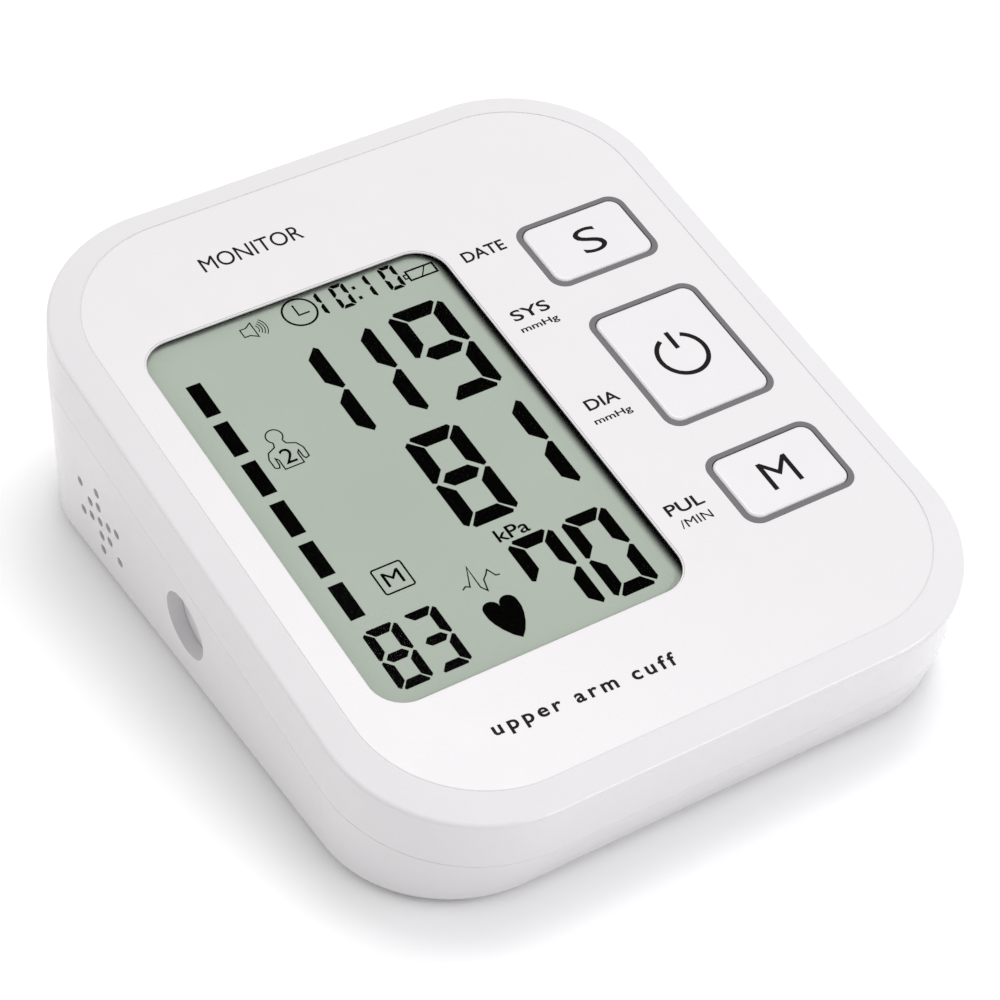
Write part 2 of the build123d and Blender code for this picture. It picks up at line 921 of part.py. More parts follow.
with BuildPart() as pressure_sensor:
    block(
        face.offset(board_bottom - sensor_height),
        (sensor_size, sensor_size),
        sensor_height,
        centre=(manifold_x, sensor_v),
    )
    bar_z(sensor_port_z, sensor_port_z + 3.5, nozzle_radius, manifold_x, socket_y)
    bar_z(sensor_port_z, sensor_port_z + 3.0, nozzle_bore, manifold_x, socket_y, mode=Mode.SUBTRACT)
save(pressure_sensor, "pressure_sensor")


def tube(name, points, radii):
    """A soft air tube that follows straight runs joined by arcs."""
    with BuildPart() as hose:
        with BuildLine() as route:
            if radii:
                FilletPolyline(*points, radius=radii)
            else:
                Line(*points)
        with BuildSketch(Plane(origin=route.line @ 0, z_dir=route.line % 0)):
            Circle(tube_outer)
            Circle(tube_inner, mode=Mode.SUBTRACT)
        sweep(path=route.line)
    length = sum(edge.length for edge in route.edges())
    filled = hose.part.volume / length / (math.pi * (tube_outer**2 - tube_inner**2))
    print(name, "length", round(length, 1), "volume over section times length", round(filled, 3))
    save(hose, name)


tube(
    "socket_tube",
    [
        (socket_end + face_gap, socket_y, socket_z),
        (manifold_x - manifold_half - face_gap, socket_y, socket_z),
    ],
    [],
)
tube(
    "sensor_tube",
    [
        (manifold_x, socket_y, socket_z + manifold_half + face_gap),
        (manifold_x, socket_y, sensor_port_z + 0.7),
    ],
    [],
)
tube(
    "pump_tube",
    [
        (manifold_x, socket_y + manifold_half + face_gap, socket_z),
        (manifold_x, 18.0, socket_z),
        (-44.6, 33.0, 15.5),
        (-44.6, pump_y, pump_z),
        (head_start_x - face_gap, pump_y, pump_z),
    ],
    [10.0, 12.0, 8.5],
)
tube(
    "valve_tube",
    [
        (manifold_x, socket_y - manifold_half - face_gap, socket_z),
        (manifold_x, -8.0, socket_z),
        (valve_x, -17.0, valve_z),
        (valve_x, yoke_end + 1.5 + face_gap, valve_z),
    ],
    [5.0, 5.0],
)

# ---- speaker ----

speaker_back = speaker_front + speaker_depth

with BuildPart() as speaker_frame:
    bar_x(speaker_front, speaker_back, speaker_radius, grille_y, speaker_z)
    bar_x(
        speaker_front,
        speaker_back - 0.8,
        speaker_radius - 0.8,
        grille_y,
        speaker_z,
        mode=Mode.SUBTRACT,
    )
save(speaker_frame, "speaker_frame")

cone_thickness = 0.4
cone_profile = [(1.2, 0), (0.5, 3.5), (2.0, 4.2), (0.6, speaker_radius - 1.1)]
cone_front = [(speaker_front + depth, grille_y + reach) for depth, reach in cone_profile]
cone_back = [(x + cone_thickness, y) for x, y in reversed(cone_front)]

with BuildPart() as speaker_cone:
    with BuildSketch(Plane.XY.offset(speaker_z)):
        with BuildLine():
            Polyline(*cone_front, *cone_back, close=True)
        make_face()
    revolve(axis=Axis((0, grille_y, speaker_z), (1, 0, 0)))
save(speaker_cone, "speaker_cone")

with BuildPart() as speaker_magnet:
    bar_x(speaker_back, speaker_back + 1.2, 5.5, grille_y, speaker_z)
save(speaker_magnet, "speaker_magnet")

# ---- battery bay ----

cell_z = floor_z - 0.1 + cell_radius
bay_front = bay_y - bay_length / 2
bay_back = bay_y + bay_length / 2
nub_length = 1.2
nub_radius = 2.75
spring_length = 6.8
spring_wire = 0.4
spring_radius = 3.0
spring_turns = 4
contact_size = 10.0
contact_thickness = 0.4
cell_places = []
for index in range(cell_count):
    cell_x = bay_x + (index - (cell_count - 1) / 2) * cell_pitch
    cell_places.append((cell_x, index % 2 == 0))

with BuildPart() as battery_cells:
    for x, nub_at_back in cell_places:
        if nub_at_back:
            start = bay_front + contact_thickness + spring_length
            nub_start = start + cell_length
        else:
            start = bay_back - contact_thickness - spring_length - cell_length
            nub_start = start - nub_length
        bar_y(start, start + cell_length, cell_radius, x, cell_z)
        bar_y(nub_start, nub_start + nub_length, nub_radius, x, cell_z)
save(battery_cells, "battery_cells")

spring_height = spring_length - 2 * spring_wire - 0.2

with BuildPart() as battery_springs:
    for x, nub_at_back in cell_places:
        if nub_at_back:
            foot = (x, bay_front + contact_thickness + spring_wire + 0.1, cell_z)
            along = (0, 1, 0)
        else:
            foot = (x, bay_back - contact_thickness - spring_wire - 0.1, cell_z)
            along = (0, -1, 0)
        with BuildLine() as coil:
            Helix(
                spring_height / spring_turns,
                spring_height,
                spring_radius,
                center=foot,
                direction=along,
            )
        with BuildSketch(Plane(origin=coil.line @ 0, z_dir=coil.line % 0)) as wire:
            Circle(spring_wire)
        sweep(wire.sketch, path=coil.line, is_frenet=True)
save(battery_springs, "battery_springs")

with BuildPart() as battery_contacts:
    for x, nub_at_back in cell_places:
        for start in (bay_front, bay_back - contact_thickness):
            plate = Plane(origin=(x, start, cell_z), x_dir=(1, 0, 0), z_dir=(0, 1, 0))
            block(plate, (contact_size, contact_size), contact_thickness)
save(battery_contacts, "battery_contacts")

groove_count = 4
groove_pitch = 2.6

with BuildPart() as battery_door:
    block(
        Plane.XY.offset(foot_height),
        (door_width, door_back - hinge_y),
        door_thickness,
        centre=(bay_x, (door_back + hinge_y) / 2),
    )
    block(
        Plane.XY.offset(foot_height),
        (tongue_width, 2 * tongue_reach),
        door_thickness,
        centre=(bay_x, door_back),
    )
    bar_x(bay_x - door_width / 2, bay_x + door_width / 2, barrel_radius, hinge_y, hinge_z)
    bar_x(
        bay_x - door_width / 2 - trunnion_reach,
        bay_x + door_width / 2 + trunnion_reach,
        trunnion_radius,
        hinge_y,
        hinge_z,
    )
    # finger grooves
    for step in range(groove_count):
        block(
            Plane.XY.offset(foot_height),
            (20, 1.2),
            0.5,
            centre=(bay_x, door_back - 4 - groove_pitch * step),
            mode=Mode.SUBTRACT,
        )
save(battery_door, "battery_door")

# ---- feet and case screws ----

with BuildPart() as rubber_feet:
    for place in foot_places:
        disc(Plane.XY, foot_radius, foot_height + foot_recess, centre=place)
    fillet(rubber_feet.faces().filter_by(Plane.XY).group_by(Axis.Z)[0].edges(), radius=0.35)
save(rubber_feet, "rubber_feet")

with BuildPart() as case_screws:
    for place in screw_places:
        seat = parting_height(place[1]) - screw_seat_depth
        disc(Plane.XY.offset(seat - 1.6), head_radius_screw, 1.6, centre=place)
        disc(Plane.XY.offset(seat), screw_radius, screw_length, centre=place)
        block(Plane.XY.offset(seat - 1.6), (3.0, 0.6), 0.9, centre=place, mode=Mode.SUBTRACT)
        block(Plane.XY.offset(seat - 1.6), (0.6, 3.0), 0.9, centre=place, mode=Mode.SUBTRACT)
save(case_screws, "case_screws")

# ---- wires, in pairs, from the board's connectors ----

lead_radius = 0.55
lead_pitch = 1.6
lead_bend = 1.6
lead_drop = 2.4
connector_bottom = board_bottom - connector_height


def lead_pair(name, connector, route, spread):
    """Two insulated wires side by side, from a device up to a connector under the board."""
    u, v = connector_places[connector]
    with BuildPart() as leads:
        for side in (-0.5, 0.5):
            offset = Vector(*spread) * (side * lead_pitch)
            end = face_point(u, v, connector_bottom) + Vector(offset.X, offset.Y, -face_gap)
            points = [Vector(*point) + offset for point in route]
            points += [end - Vector(0, 0, lead_drop), end]
            with BuildLine() as line:
                FilletPolyline(*points, radius=lead_bend)
            with BuildSketch(Plane(origin=line.line @ 0, z_dir=line.line % 0)) as wire:
                Circle(lead_radius)
            sweep(wire.sketch, path=line.line)
    save(leads, name)


terminal_x = cap_x + 2
lead_pair(
    "motor_leads",
    "motor",
    [(terminal_x, pump_y - 5, pump_z + 4), (28.0, pump_y - 5, pump_z + 4)],
    (0, 0.8, -0.6),
)
lead_pair(
    "battery_leads",
    "battery",
    [(bay_x + bay_width / 2 + bay_wall, -18.0, 12.0), (42.0, -18.0, 12.0)],
    (0, 1, 0),
)
lead_pair(
    "valve_leads",
    "valve",
    [(valve_x, -40.0, valve_z + 4.9), (valve_x, -40.0, valve_z + 7.4)],
    (1, 0, 0),
)
lead_pair(
    "speaker_leads",
    "speaker",
    [(speaker_back, grille_y - 7.5, speaker_z + 3.5), (-47.6, grille_y - 7.5, speaker_z + 3.5)],
    (0, 0.7, 0.7),
)
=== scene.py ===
import json
import math
import bmesh
import bpy
from mathutils import Matrix, Vector


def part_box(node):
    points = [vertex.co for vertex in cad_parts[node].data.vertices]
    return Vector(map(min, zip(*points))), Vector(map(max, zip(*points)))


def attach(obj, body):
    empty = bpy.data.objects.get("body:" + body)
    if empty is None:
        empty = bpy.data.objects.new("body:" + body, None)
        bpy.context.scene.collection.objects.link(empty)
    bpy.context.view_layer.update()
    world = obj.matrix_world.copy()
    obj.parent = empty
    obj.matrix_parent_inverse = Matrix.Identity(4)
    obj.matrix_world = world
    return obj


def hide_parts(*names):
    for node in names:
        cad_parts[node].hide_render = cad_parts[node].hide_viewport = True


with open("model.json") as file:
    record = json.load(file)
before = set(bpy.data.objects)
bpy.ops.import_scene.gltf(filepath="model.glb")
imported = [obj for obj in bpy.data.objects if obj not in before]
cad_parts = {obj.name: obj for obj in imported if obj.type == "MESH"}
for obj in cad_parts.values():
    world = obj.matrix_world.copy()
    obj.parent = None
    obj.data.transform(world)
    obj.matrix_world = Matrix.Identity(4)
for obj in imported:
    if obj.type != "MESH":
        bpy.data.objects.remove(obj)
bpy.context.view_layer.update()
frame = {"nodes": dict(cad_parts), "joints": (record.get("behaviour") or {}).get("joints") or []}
nodes = frame["nodes"]
scene = bpy.context.scene
scene.view_settings.view_transform = "Standard"
mm = 0.001
print("frame loaded,", len(nodes), "nodes")


# where the sloping face lies, read from the frame

def reach(node, direction):  # how far a node goes along a direction, lowest and highest
    spots = [vertex.co.dot(direction) for vertex in nodes[node].data.vertices]
    return min(spots), max(spots)


def middle(node, direction):
    low, high = reach(node, direction)
    return (low + high) / 2


pressAxis = next(joint["axis"] for joint in frame["joints"] if joint["name"] == "power_key_press")
outward = -Vector(pressAxis).normalized()
across = Vector((1, 0, 0))
upSlope = outward.cross(across)
faceMiddle = (
    across * middle("face_panel", across)
    + upSlope * middle("face_panel", upSlope)
    + outward * reach("face_panel", outward)[1]
)
toFace = Matrix.Translation(faceMiddle) @ Matrix((across, upSlope, outward)).transposed().to_4x4()
toFace = toFace @ Matrix.Scale(mm, 4)  # face places are in millimetres: across, up the slope, outward


def faceSpot(node):  # middle of a node on the face, in millimetres, and how high it stands
    spot = Vector((middle(node, across), middle(node, upSlope), reach(node, outward)[1]))
    base = Vector((faceMiddle.dot(across), faceMiddle.dot(upSlope), faceMiddle.dot(outward)))
    return (spot - base) / mm


def halfSize(node):  # half of a node's size across and up the slope, in millimetres
    spans = [reach(node, way) for way in (across, upSlope)]
    return [(high - low) / 2 / mm for low, high in spans]


# shader groups

def newGroup(name, inputs, outputs):
    group = bpy.data.node_groups.new(name, "ShaderNodeTree")
    for label, kind, value in inputs:
        socket = group.interface.new_socket(label, in_out="INPUT", socket_type=kind)
        socket.default_value = value
    for label, kind in outputs:
        group.interface.new_socket(label, in_out="OUTPUT", socket_type=kind)
    return group, group.nodes.new("NodeGroupInput"), group.nodes.new("NodeGroupOutput")


def wire(tree, *pairs):
    for start, end in pairs:
        tree.links.new(start, end)


def mathNode(tree, operation, first, second):
    node = tree.nodes.new("ShaderNodeMath")
    node.operation = operation
    for socket, value in zip(node.inputs, (first, second)):
        if isinstance(value, (int, float)):
            socket.default_value = value
        else:
            tree.links.new(value, socket)
    return node.outputs[0]


def mixColor(tree, factor, first, second):
    node = tree.nodes.new("ShaderNodeMix")
    node.data_type = "RGBA"
    for name, value in (("Factor_Float", factor), ("A_Color", first), ("B_Color", second)):
        socket = next(s for s in node.inputs if s.identifier == name)
        if isinstance(value, (int, float, tuple)):
            socket.default_value = value
        else:
            tree.links.new(value, socket)
    return next(s for s in node.outputs if s.identifier == "Result_Color")


def noise(tree, vector, scale, detail=3.0, rough=0.5):
    node = tree.nodes.new("ShaderNodeTexNoise")
    node.inputs["Detail"].default_value = detail
    node.inputs["Roughness"].default_value = rough
    tree.links.new(vector, node.inputs["Vector"])
    if isinstance(scale, (int, float)):
        node.inputs["Scale"].default_value = scale
    else:
        tree.links.new(scale, node.inputs["Scale"])
    return node.outputs["Fac"]


def spread(tree, value, low, high):  # stretch a 0.35 to 0.65 noise over a range
    node = tree.nodes.new("ShaderNodeMapRange")
    node.inputs["From Min"].default_value = 0.35
    node.inputs["From Max"].default_value = 0.65
    for name, bound in (("To Min", low), ("To Max", high)):
        if isinstance(bound, (int, float)):
            node.inputs[name].default_value = bound
        else:
            tree.links.new(bound, node.inputs[name])
    tree.links.new(value, node.inputs["Value"])
    return node.outputs["Result"]


def buildMouldedSkin():  # moulded plastic: fine spark grain, faint flow marks, a little dust in the hollows
    group, start, end = newGroup(
        "mouldedSkin",
        [
            ("Vector", "NodeSocketVector", (0, 0, 0)),
            ("Color", "NodeSocketColor", (0.8, 0.8, 0.8, 1)),
            ("Flow Color", "NodeSocketColor", (0.7, 0.7, 0.7, 1)),
            ("Grain Scale", "NodeSocketFloat", 2600.0),
            ("Gloss Low", "NodeSocketFloat", 0.3),
            ("Gloss High", "NodeSocketFloat", 0.4),
            ("Dust", "NodeSocketFloat", 0.1),
        ],
        [("Color", "NodeSocketColor"), ("Roughness", "NodeSocketFloat"), ("Height", "NodeSocketFloat")],
    )
    vector = start.outputs["Vector"]
    fine = noise(group, vector, start.outputs["Grain Scale"], 2.0, 0.6)
    flow = noise(group, vector, 26.0, 3.0, 0.5)
    smear = noise(group, vector, 140.0, 4.0, 0.6)
    geometry = group.nodes.new("ShaderNodeNewGeometry")
    hollow = group.nodes.new("ShaderNodeMapRange")
    hollow.inputs["From Min"].default_value = 0.49
    hollow.inputs["From Max"].default_value = 0.44
    group.links.new(geometry.outputs["Pointiness"], hollow.inputs["Value"])
    flowMask = mathNode(group, "MULTIPLY", spread(group, flow, 0.0, 1.0), 0.35)
    tinted = mixColor(group, flowMask, start.outputs["Color"], start.outputs["Flow Color"])
    dustMask = mathNode(group, "MULTIPLY", hollow.outputs["Result"], start.outputs["Dust"])
    dusty = mixColor(group, dustMask, tinted, (0.42, 0.41, 0.39, 1))
    gloss = spread(group, smear, start.outputs["Gloss Low"], start.outputs["Gloss High"])
    wire(
        group,
        (dusty, end.inputs["Color"]),
        (gloss, end.inputs["Roughness"]),
        (fine, end.inputs["Height"]),
    )
    return group


def buildDrawnMetal():  # rolled or turned metal: long streaks along one axis and a few dull spots
    group, start, end = newGroup(
        "drawnMetal",
        [
            ("Vector", "NodeSocketVector", (0, 0, 0)),
            ("Color", "NodeSocketColor", (0.6, 0.6, 0.6, 1)),
            ("Tarnish", "NodeSocketColor", (0.35, 0.33, 0.3, 1)),
            ("Streak", "NodeSocketVector", (1, 1, 20)),
            ("Gloss Low", "NodeSocketFloat", 0.2),
            ("Gloss High", "NodeSocketFloat", 0.4),
        ],
        [("Color", "NodeSocketColor"), ("Roughness", "NodeSocketFloat"), ("Height", "NodeSocketFloat")],
    )
    stretch = group.nodes.new("ShaderNodeVectorMath")
    stretch.operation = "MULTIPLY"
    wire(
        group,
        (start.outputs["Vector"], stretch.inputs[0]),
        (start.outputs["Streak"], stretch.inputs[1]),
    )
    streaks = noise(group, stretch.outputs[0], 220.0, 4.0, 0.65)
    spots = noise(group, start.outputs["Vector"], 90.0, 5.0, 0.6)
    dull = mathNode(group, "MULTIPLY", spread(group, spots, 0.0, 1.0), 0.4)
    color = mixColor(group, dull, start.outputs["Color"], start.outputs["Tarnish"])
    gloss = spread(group, streaks, start.outputs["Gloss Low"], start.outputs["Gloss High"])
    wire(
        group,
        (color, end.inputs["Color"]),
        (gloss, end.inputs["Roughness"]),
        (streaks, end.inputs["Height"]),
    )
    return group


def buildStripes():  # two colours in even bands along one axis of the object, edges slightly soft
    group, start, end = newGroup(
        "evenStripes",
        [
            ("Vector", "NodeSocketVector", (0, 0, 0)),
            ("Along", "NodeSocketVector", (1, 0, 0)),
            ("Pitch", "NodeSocketFloat", 0.001),
            ("First", "NodeSocketColor", (0, 0, 0, 1)),
            ("Second", "NodeSocketColor", (1, 1, 1, 1)),
        ],
        [("Color", "NodeSocketColor"), ("Mask", "NodeSocketFloat")],
    )
    project = group.nodes.new("ShaderNodeVectorMath")
    project.operation = "DOT_PRODUCT"
    wire(group, (start.outputs["Vector"], project.inputs[0]), (start.outputs["Along"], project.inputs[1]))
    turns = mathNode(group, "DIVIDE", project.outputs["Value"], start.outputs["Pitch"])
    sine = mathNode(group, "SINE", mathNode(group, "MULTIPLY", turns, 2 * math.pi), 0)
    steep = mathNode(group, "MULTIPLY", sine, 4.0)
    mask = mathNode(group, "ADD", steep, 0.5)
    clamp = group.nodes.new("ShaderNodeClamp")
    group.links.new(mask, clamp.inputs["Value"])
    color = mixColor(group, clamp.outputs[0], start.outputs["First"], start.outputs["Second"])
    wire(group, (color, end.inputs["Color"]), (clamp.outputs[0], end.inputs["Mask"]))
    return group


skinGroup = buildMouldedSkin()
metalGroup = buildDrawnMetal()
stripeGroup = buildStripes()
print("shader groups built")


# materials

def startMaterial(name, **sockets):  # a material with object coordinates, constants set on its shader
    material = bpy.data.materials.new(name)
    material.use_nodes = True
    tree = material.node_tree
    shader = tree.nodes["Principled BSDF"]
    for label, value in sockets.items():
        shader.inputs[label.replace("_", " ")].default_value = value
    coordinates = tree.nodes.new("ShaderNodeTexCoord")
    return material, tree, shader, coordinates.outputs["Object"]


def useGroup(tree, group, vector, **values):
    node = tree.nodes.new("ShaderNodeGroup")
    node.node_tree = group
    tree.links.new(vector, node.inputs["Vector"])
    for label, value in values.items():
        node.inputs[label.replace("_", " ")].default_value = value
    return node


def addBump(tree, shader, height, distance):
    bump = tree.nodes.new("ShaderNodeBump")
    bump.inputs["Strength"].default_value = 1.0
    bump.inputs["Distance"].default_value = distance
    wire(tree, (height, bump.inputs["Height"]), (bump.outputs["Normal"], shader.inputs["Normal"]))


def plastic(name, color, flow, gloss, grain=2600.0, depth=0.000012, dust=0.1, **sockets):
    material, tree, shader, vector = startMaterial(name, **sockets)
    skin = useGroup(
        tree, skinGroup, vector, Color=(*color, 1), Flow_Color=(*flow, 1), Grain_Scale=grain,
        Gloss_Low=gloss[0], Gloss_High=gloss[1], Dust=dust,
    )
    wire(tree, (skin.outputs["Color"], shader.inputs["Base Color"]))
    wire(tree, (skin.outputs["Roughness"], shader.inputs["Roughness"]))
    addBump(tree, shader, skin.outputs["Height"], depth)
    return material


def metal(name, color, tarnish, streak, gloss):
    streakDepth = 0.00001
    material, tree, shader, vector = startMaterial(name, Metallic=1.0)
    skin = useGroup(
        tree, metalGroup, vector, Color=(*color, 1), Tarnish=(*tarnish, 1), Streak=streak,
        Gloss_Low=gloss[0], Gloss_High=gloss[1],
    )
    wire(tree, (skin.outputs["Color"], shader.inputs["Base Color"]))
    wire(tree, (skin.outputs["Roughness"], shader.inputs["Roughness"]))
    addBump(tree, shader, skin.outputs["Height"], streakDepth)
    return material


def striped(name, along, pitch, first, second, depth, **sockets):
    material, tree, shader, vector = startMaterial(name, **sockets)
    bands = useGroup(
        tree, stripeGroup, vector, Along=along, Pitch=pitch, First=(*first, 1), Second=(*second, 1),
    )
    wire(tree, (bands.outputs["Color"], shader.inputs["Base Color"]))
    worn = spread(tree, noise(tree, vector, 300.0, 4.0, 0.6), 0.35, 0.6)
    wire(tree, (worn, shader.inputs["Roughness"]))
    addBump(tree, shader, bands.outputs["Mask"], depth)
    return material


def buildLens():  # clear cover: see-through, with a reflection that grows at low angles
    material, tree, shader, vector = startMaterial("clearLens", Metallic=1.0)
    shader.inputs["Base Color"].default_value = (1, 1, 1, 1)
    slant = tree.nodes.new("ShaderNodeLayerWeight")
    slant.inputs["Blend"].default_value = 0.5
    grazing = mathNode(tree, "POWER", slant.outputs["Facing"], 4.0)
    wire(tree, (mathNode(tree, "MULTIPLY", grazing, 0.15), shader.inputs["Alpha"]))
    haze = spread(tree, noise(tree, vector, 45.0, 5.0, 0.6), 0.04, 0.09)
    wire(tree, (haze, shader.inputs["Roughness"]))
    return material


def paintedRecessShade(tree, vector, edges, corner, fade):  # painted shade of the window's recess: dark at the right and back edges, round the corner
    halfWide, halfLong = 40, 60  # larger than the film, so its left and front edges stay light
    place = tree.nodes.new("ShaderNodeVectorMath")
    place.operation = "SUBTRACT"
    place.inputs[1].default_value = toFace @ Vector((edges[0] - halfWide, edges[1] - halfLong, 0))
    wire(tree, (vector, place.inputs[0]))
    overs = []
    for direction, half in ((across, halfWide), (upSlope, halfLong)):
        along = tree.nodes.new("ShaderNodeVectorMath")
        along.operation = "DOT_PRODUCT"
        along.inputs[1].default_value = direction / mm
        wire(tree, (place.outputs[0], along.inputs[0]))
        overs.append(mathNode(tree, "SUBTRACT", along.outputs["Value"], half - corner))
    outside = [mathNode(tree, "POWER", mathNode(tree, "MAXIMUM", over, 0.0), 2.0) for over in overs]
    radius = mathNode(tree, "SQRT", mathNode(tree, "ADD", *outside), 0.0)
    inside = mathNode(tree, "MINIMUM", mathNode(tree, "MAXIMUM", *overs), 0.0)
    shade = tree.nodes.new("ShaderNodeMapRange")
    shade.interpolation_type = "SMOOTHERSTEP"
    shade.inputs["From Min"].default_value = corner - fade
    shade.inputs["From Max"].default_value = corner
    wire(tree, (mathNode(tree, "ADD", radius, inside), shade.inputs["Value"]))
    return shade.outputs["Result"]


def buildFilm(name, color, paintedShade=None):  # grey-green display film: fine pearly grain and a slow tone change; if given, painted shade of the window's recess at its right and back edges
    material, tree, shader, vector = startMaterial(name, Roughness=0.55)
    shader.inputs["Specular IOR Level"].default_value = 0.1
    slow = noise(tree, vector, 18.0, 2.0, 0.5)
    grain = noise(tree, vector, 5200.0, 2.0, 0.6)
    darker = tuple(part * 0.94 for part in color)
    tone = mixColor(tree, spread(tree, slow, 0.0, 1.0), (*color, 1), (*darker, 1))
    speck = mixColor(tree, spread(tree, grain, 0.0, 0.12), tone, (*(part * 0.7 for part in color), 1))
    if paintedShade:
        # painted shade: the film turns near black towards the window's right and back edges, where the recess
        # casts its shadow
        speck = mixColor(tree, paintedRecessShade(tree, vector, *paintedShade), speck, (0.004, 0.004, 0.004, 1))
    wire(tree, (speck, shader.inputs["Base Color"]))
    wire(tree, (spread(tree, grain, 0.5, 0.62), shader.inputs["Roughness"]))
    return material


def buildInk(name, color, low, high, gloss):  # screen-printed ink: slightly uneven cover
    material, tree, shader, vector = startMaterial(name)
    shader.inputs["Specular IOR Level"].default_value = gloss
    cover = noise(tree, vector, 3400.0, 3.0, 0.6)
    thin = tuple(part * 1.8 for part in color)
    tone = mixColor(tree, spread(tree, cover, 0.0, 0.6), (*color, 1), (*thin, 1))
    wire(tree, (tone, shader.inputs["Base Color"]))
    wire(tree, (spread(tree, cover, low, high), shader.inputs["Roughness"]))
    addBump(tree, shader, cover, 0.000004)
    return material


def buildBoard():  # solder mask over copper runs, with bare pads
    material, tree, shader, vector = startMaterial("boardMask")
    brick = tree.nodes.new("ShaderNodeTexBrick")
    brick.inputs["Scale"].default_value = 130.0
    brick.inputs["Mortar Size"].default_value = 0.035
    brick.inputs["Color1"].default_value = (0.012, 0.11, 0.045, 1)
    brick.inputs["Color2"].default_value = (0.016, 0.15, 0.06, 1)
    brick.inputs["Mortar"].default_value = (0.03, 0.24, 0.09, 1)
    cells = tree.nodes.new("ShaderNodeTexVoronoi")
    cells.inputs["Scale"].default_value = 190.0
    wire(tree, (vector, brick.inputs["Vector"]), (vector, cells.inputs["Vector"]))
    pads = mathNode(tree, "LESS_THAN", cells.outputs["Distance"], 0.13)
    color = mixColor(tree, pads, brick.outputs["Color"], (0.62, 0.6, 0.56, 1))
    wire(tree, (color, shader.inputs["Base Color"]), (pads, shader.inputs["Metallic"]))
    wire(tree, (spread(tree, noise(tree, vector, 400.0), 0.25, 0.45), shader.inputs["Roughness"]))
    addBump(tree, shader, brick.outputs["Fac"], 0.00003)
    return material


def buildTwoWires(name, along, split, first, second):  # two insulation colours, told apart by place
    material, tree, shader, vector = startMaterial(name)
    project = tree.nodes.new("ShaderNodeVectorMath")
    project.operation = "DOT_PRODUCT"
    project.inputs[1].default_value = along
    wire(tree, (vector, project.inputs[0]))
    side = mathNode(tree, "GREATER_THAN", project.outputs["Value"], split)
    base = mixColor(tree, side, (*first, 1), (*second, 1))
    scuff = noise(tree, vector, 700.0, 4.0, 0.6)
    tone = mixColor(tree, spread(tree, scuff, 0.0, 0.15), base, (0.5, 0.5, 0.5, 1))
    wire(tree, (tone, shader.inputs["Base Color"]))
    wire(tree, (spread(tree, scuff, 0.3, 0.5), shader.inputs["Roughness"]))
    addBump(tree, shader, scuff, 0.00001)
    return material


def glassPlate(name, color, alpha):  # display glass, seen only at its edges
    material, tree, shader, vector = startMaterial(name, Alpha=alpha)
    cloud = spread(tree, noise(tree, vector, 60.0), 0.0, 1.0)
    tint = mixColor(tree, cloud, (*color, 1), (0.6, 0.68, 0.62, 1))
    wire(tree, (tint, shader.inputs["Base Color"]))
    wire(tree, (spread(tree, noise(tree, vector, 200.0), 0.05, 0.12), shader.inputs["Roughness"]))
    return material


windowSpot = faceSpot("window_bezel")
windowHalf = halfSize("window_bezel")
paintedShadeSizes = {"right": -0.25, "back": 1.0, "corner": 6.0, "fade": 2.3}  # painted shade of the window's recess on the film: its edges from the window's own
paintedShadeCorner = (
    windowSpot.x + windowHalf[0] + paintedShadeSizes["right"],
    windowSpot.y + windowHalf[1] + paintedShadeSizes["back"],
)
filmPaintedShade = (paintedShadeCorner, paintedShadeSizes["corner"], paintedShadeSizes["fade"])

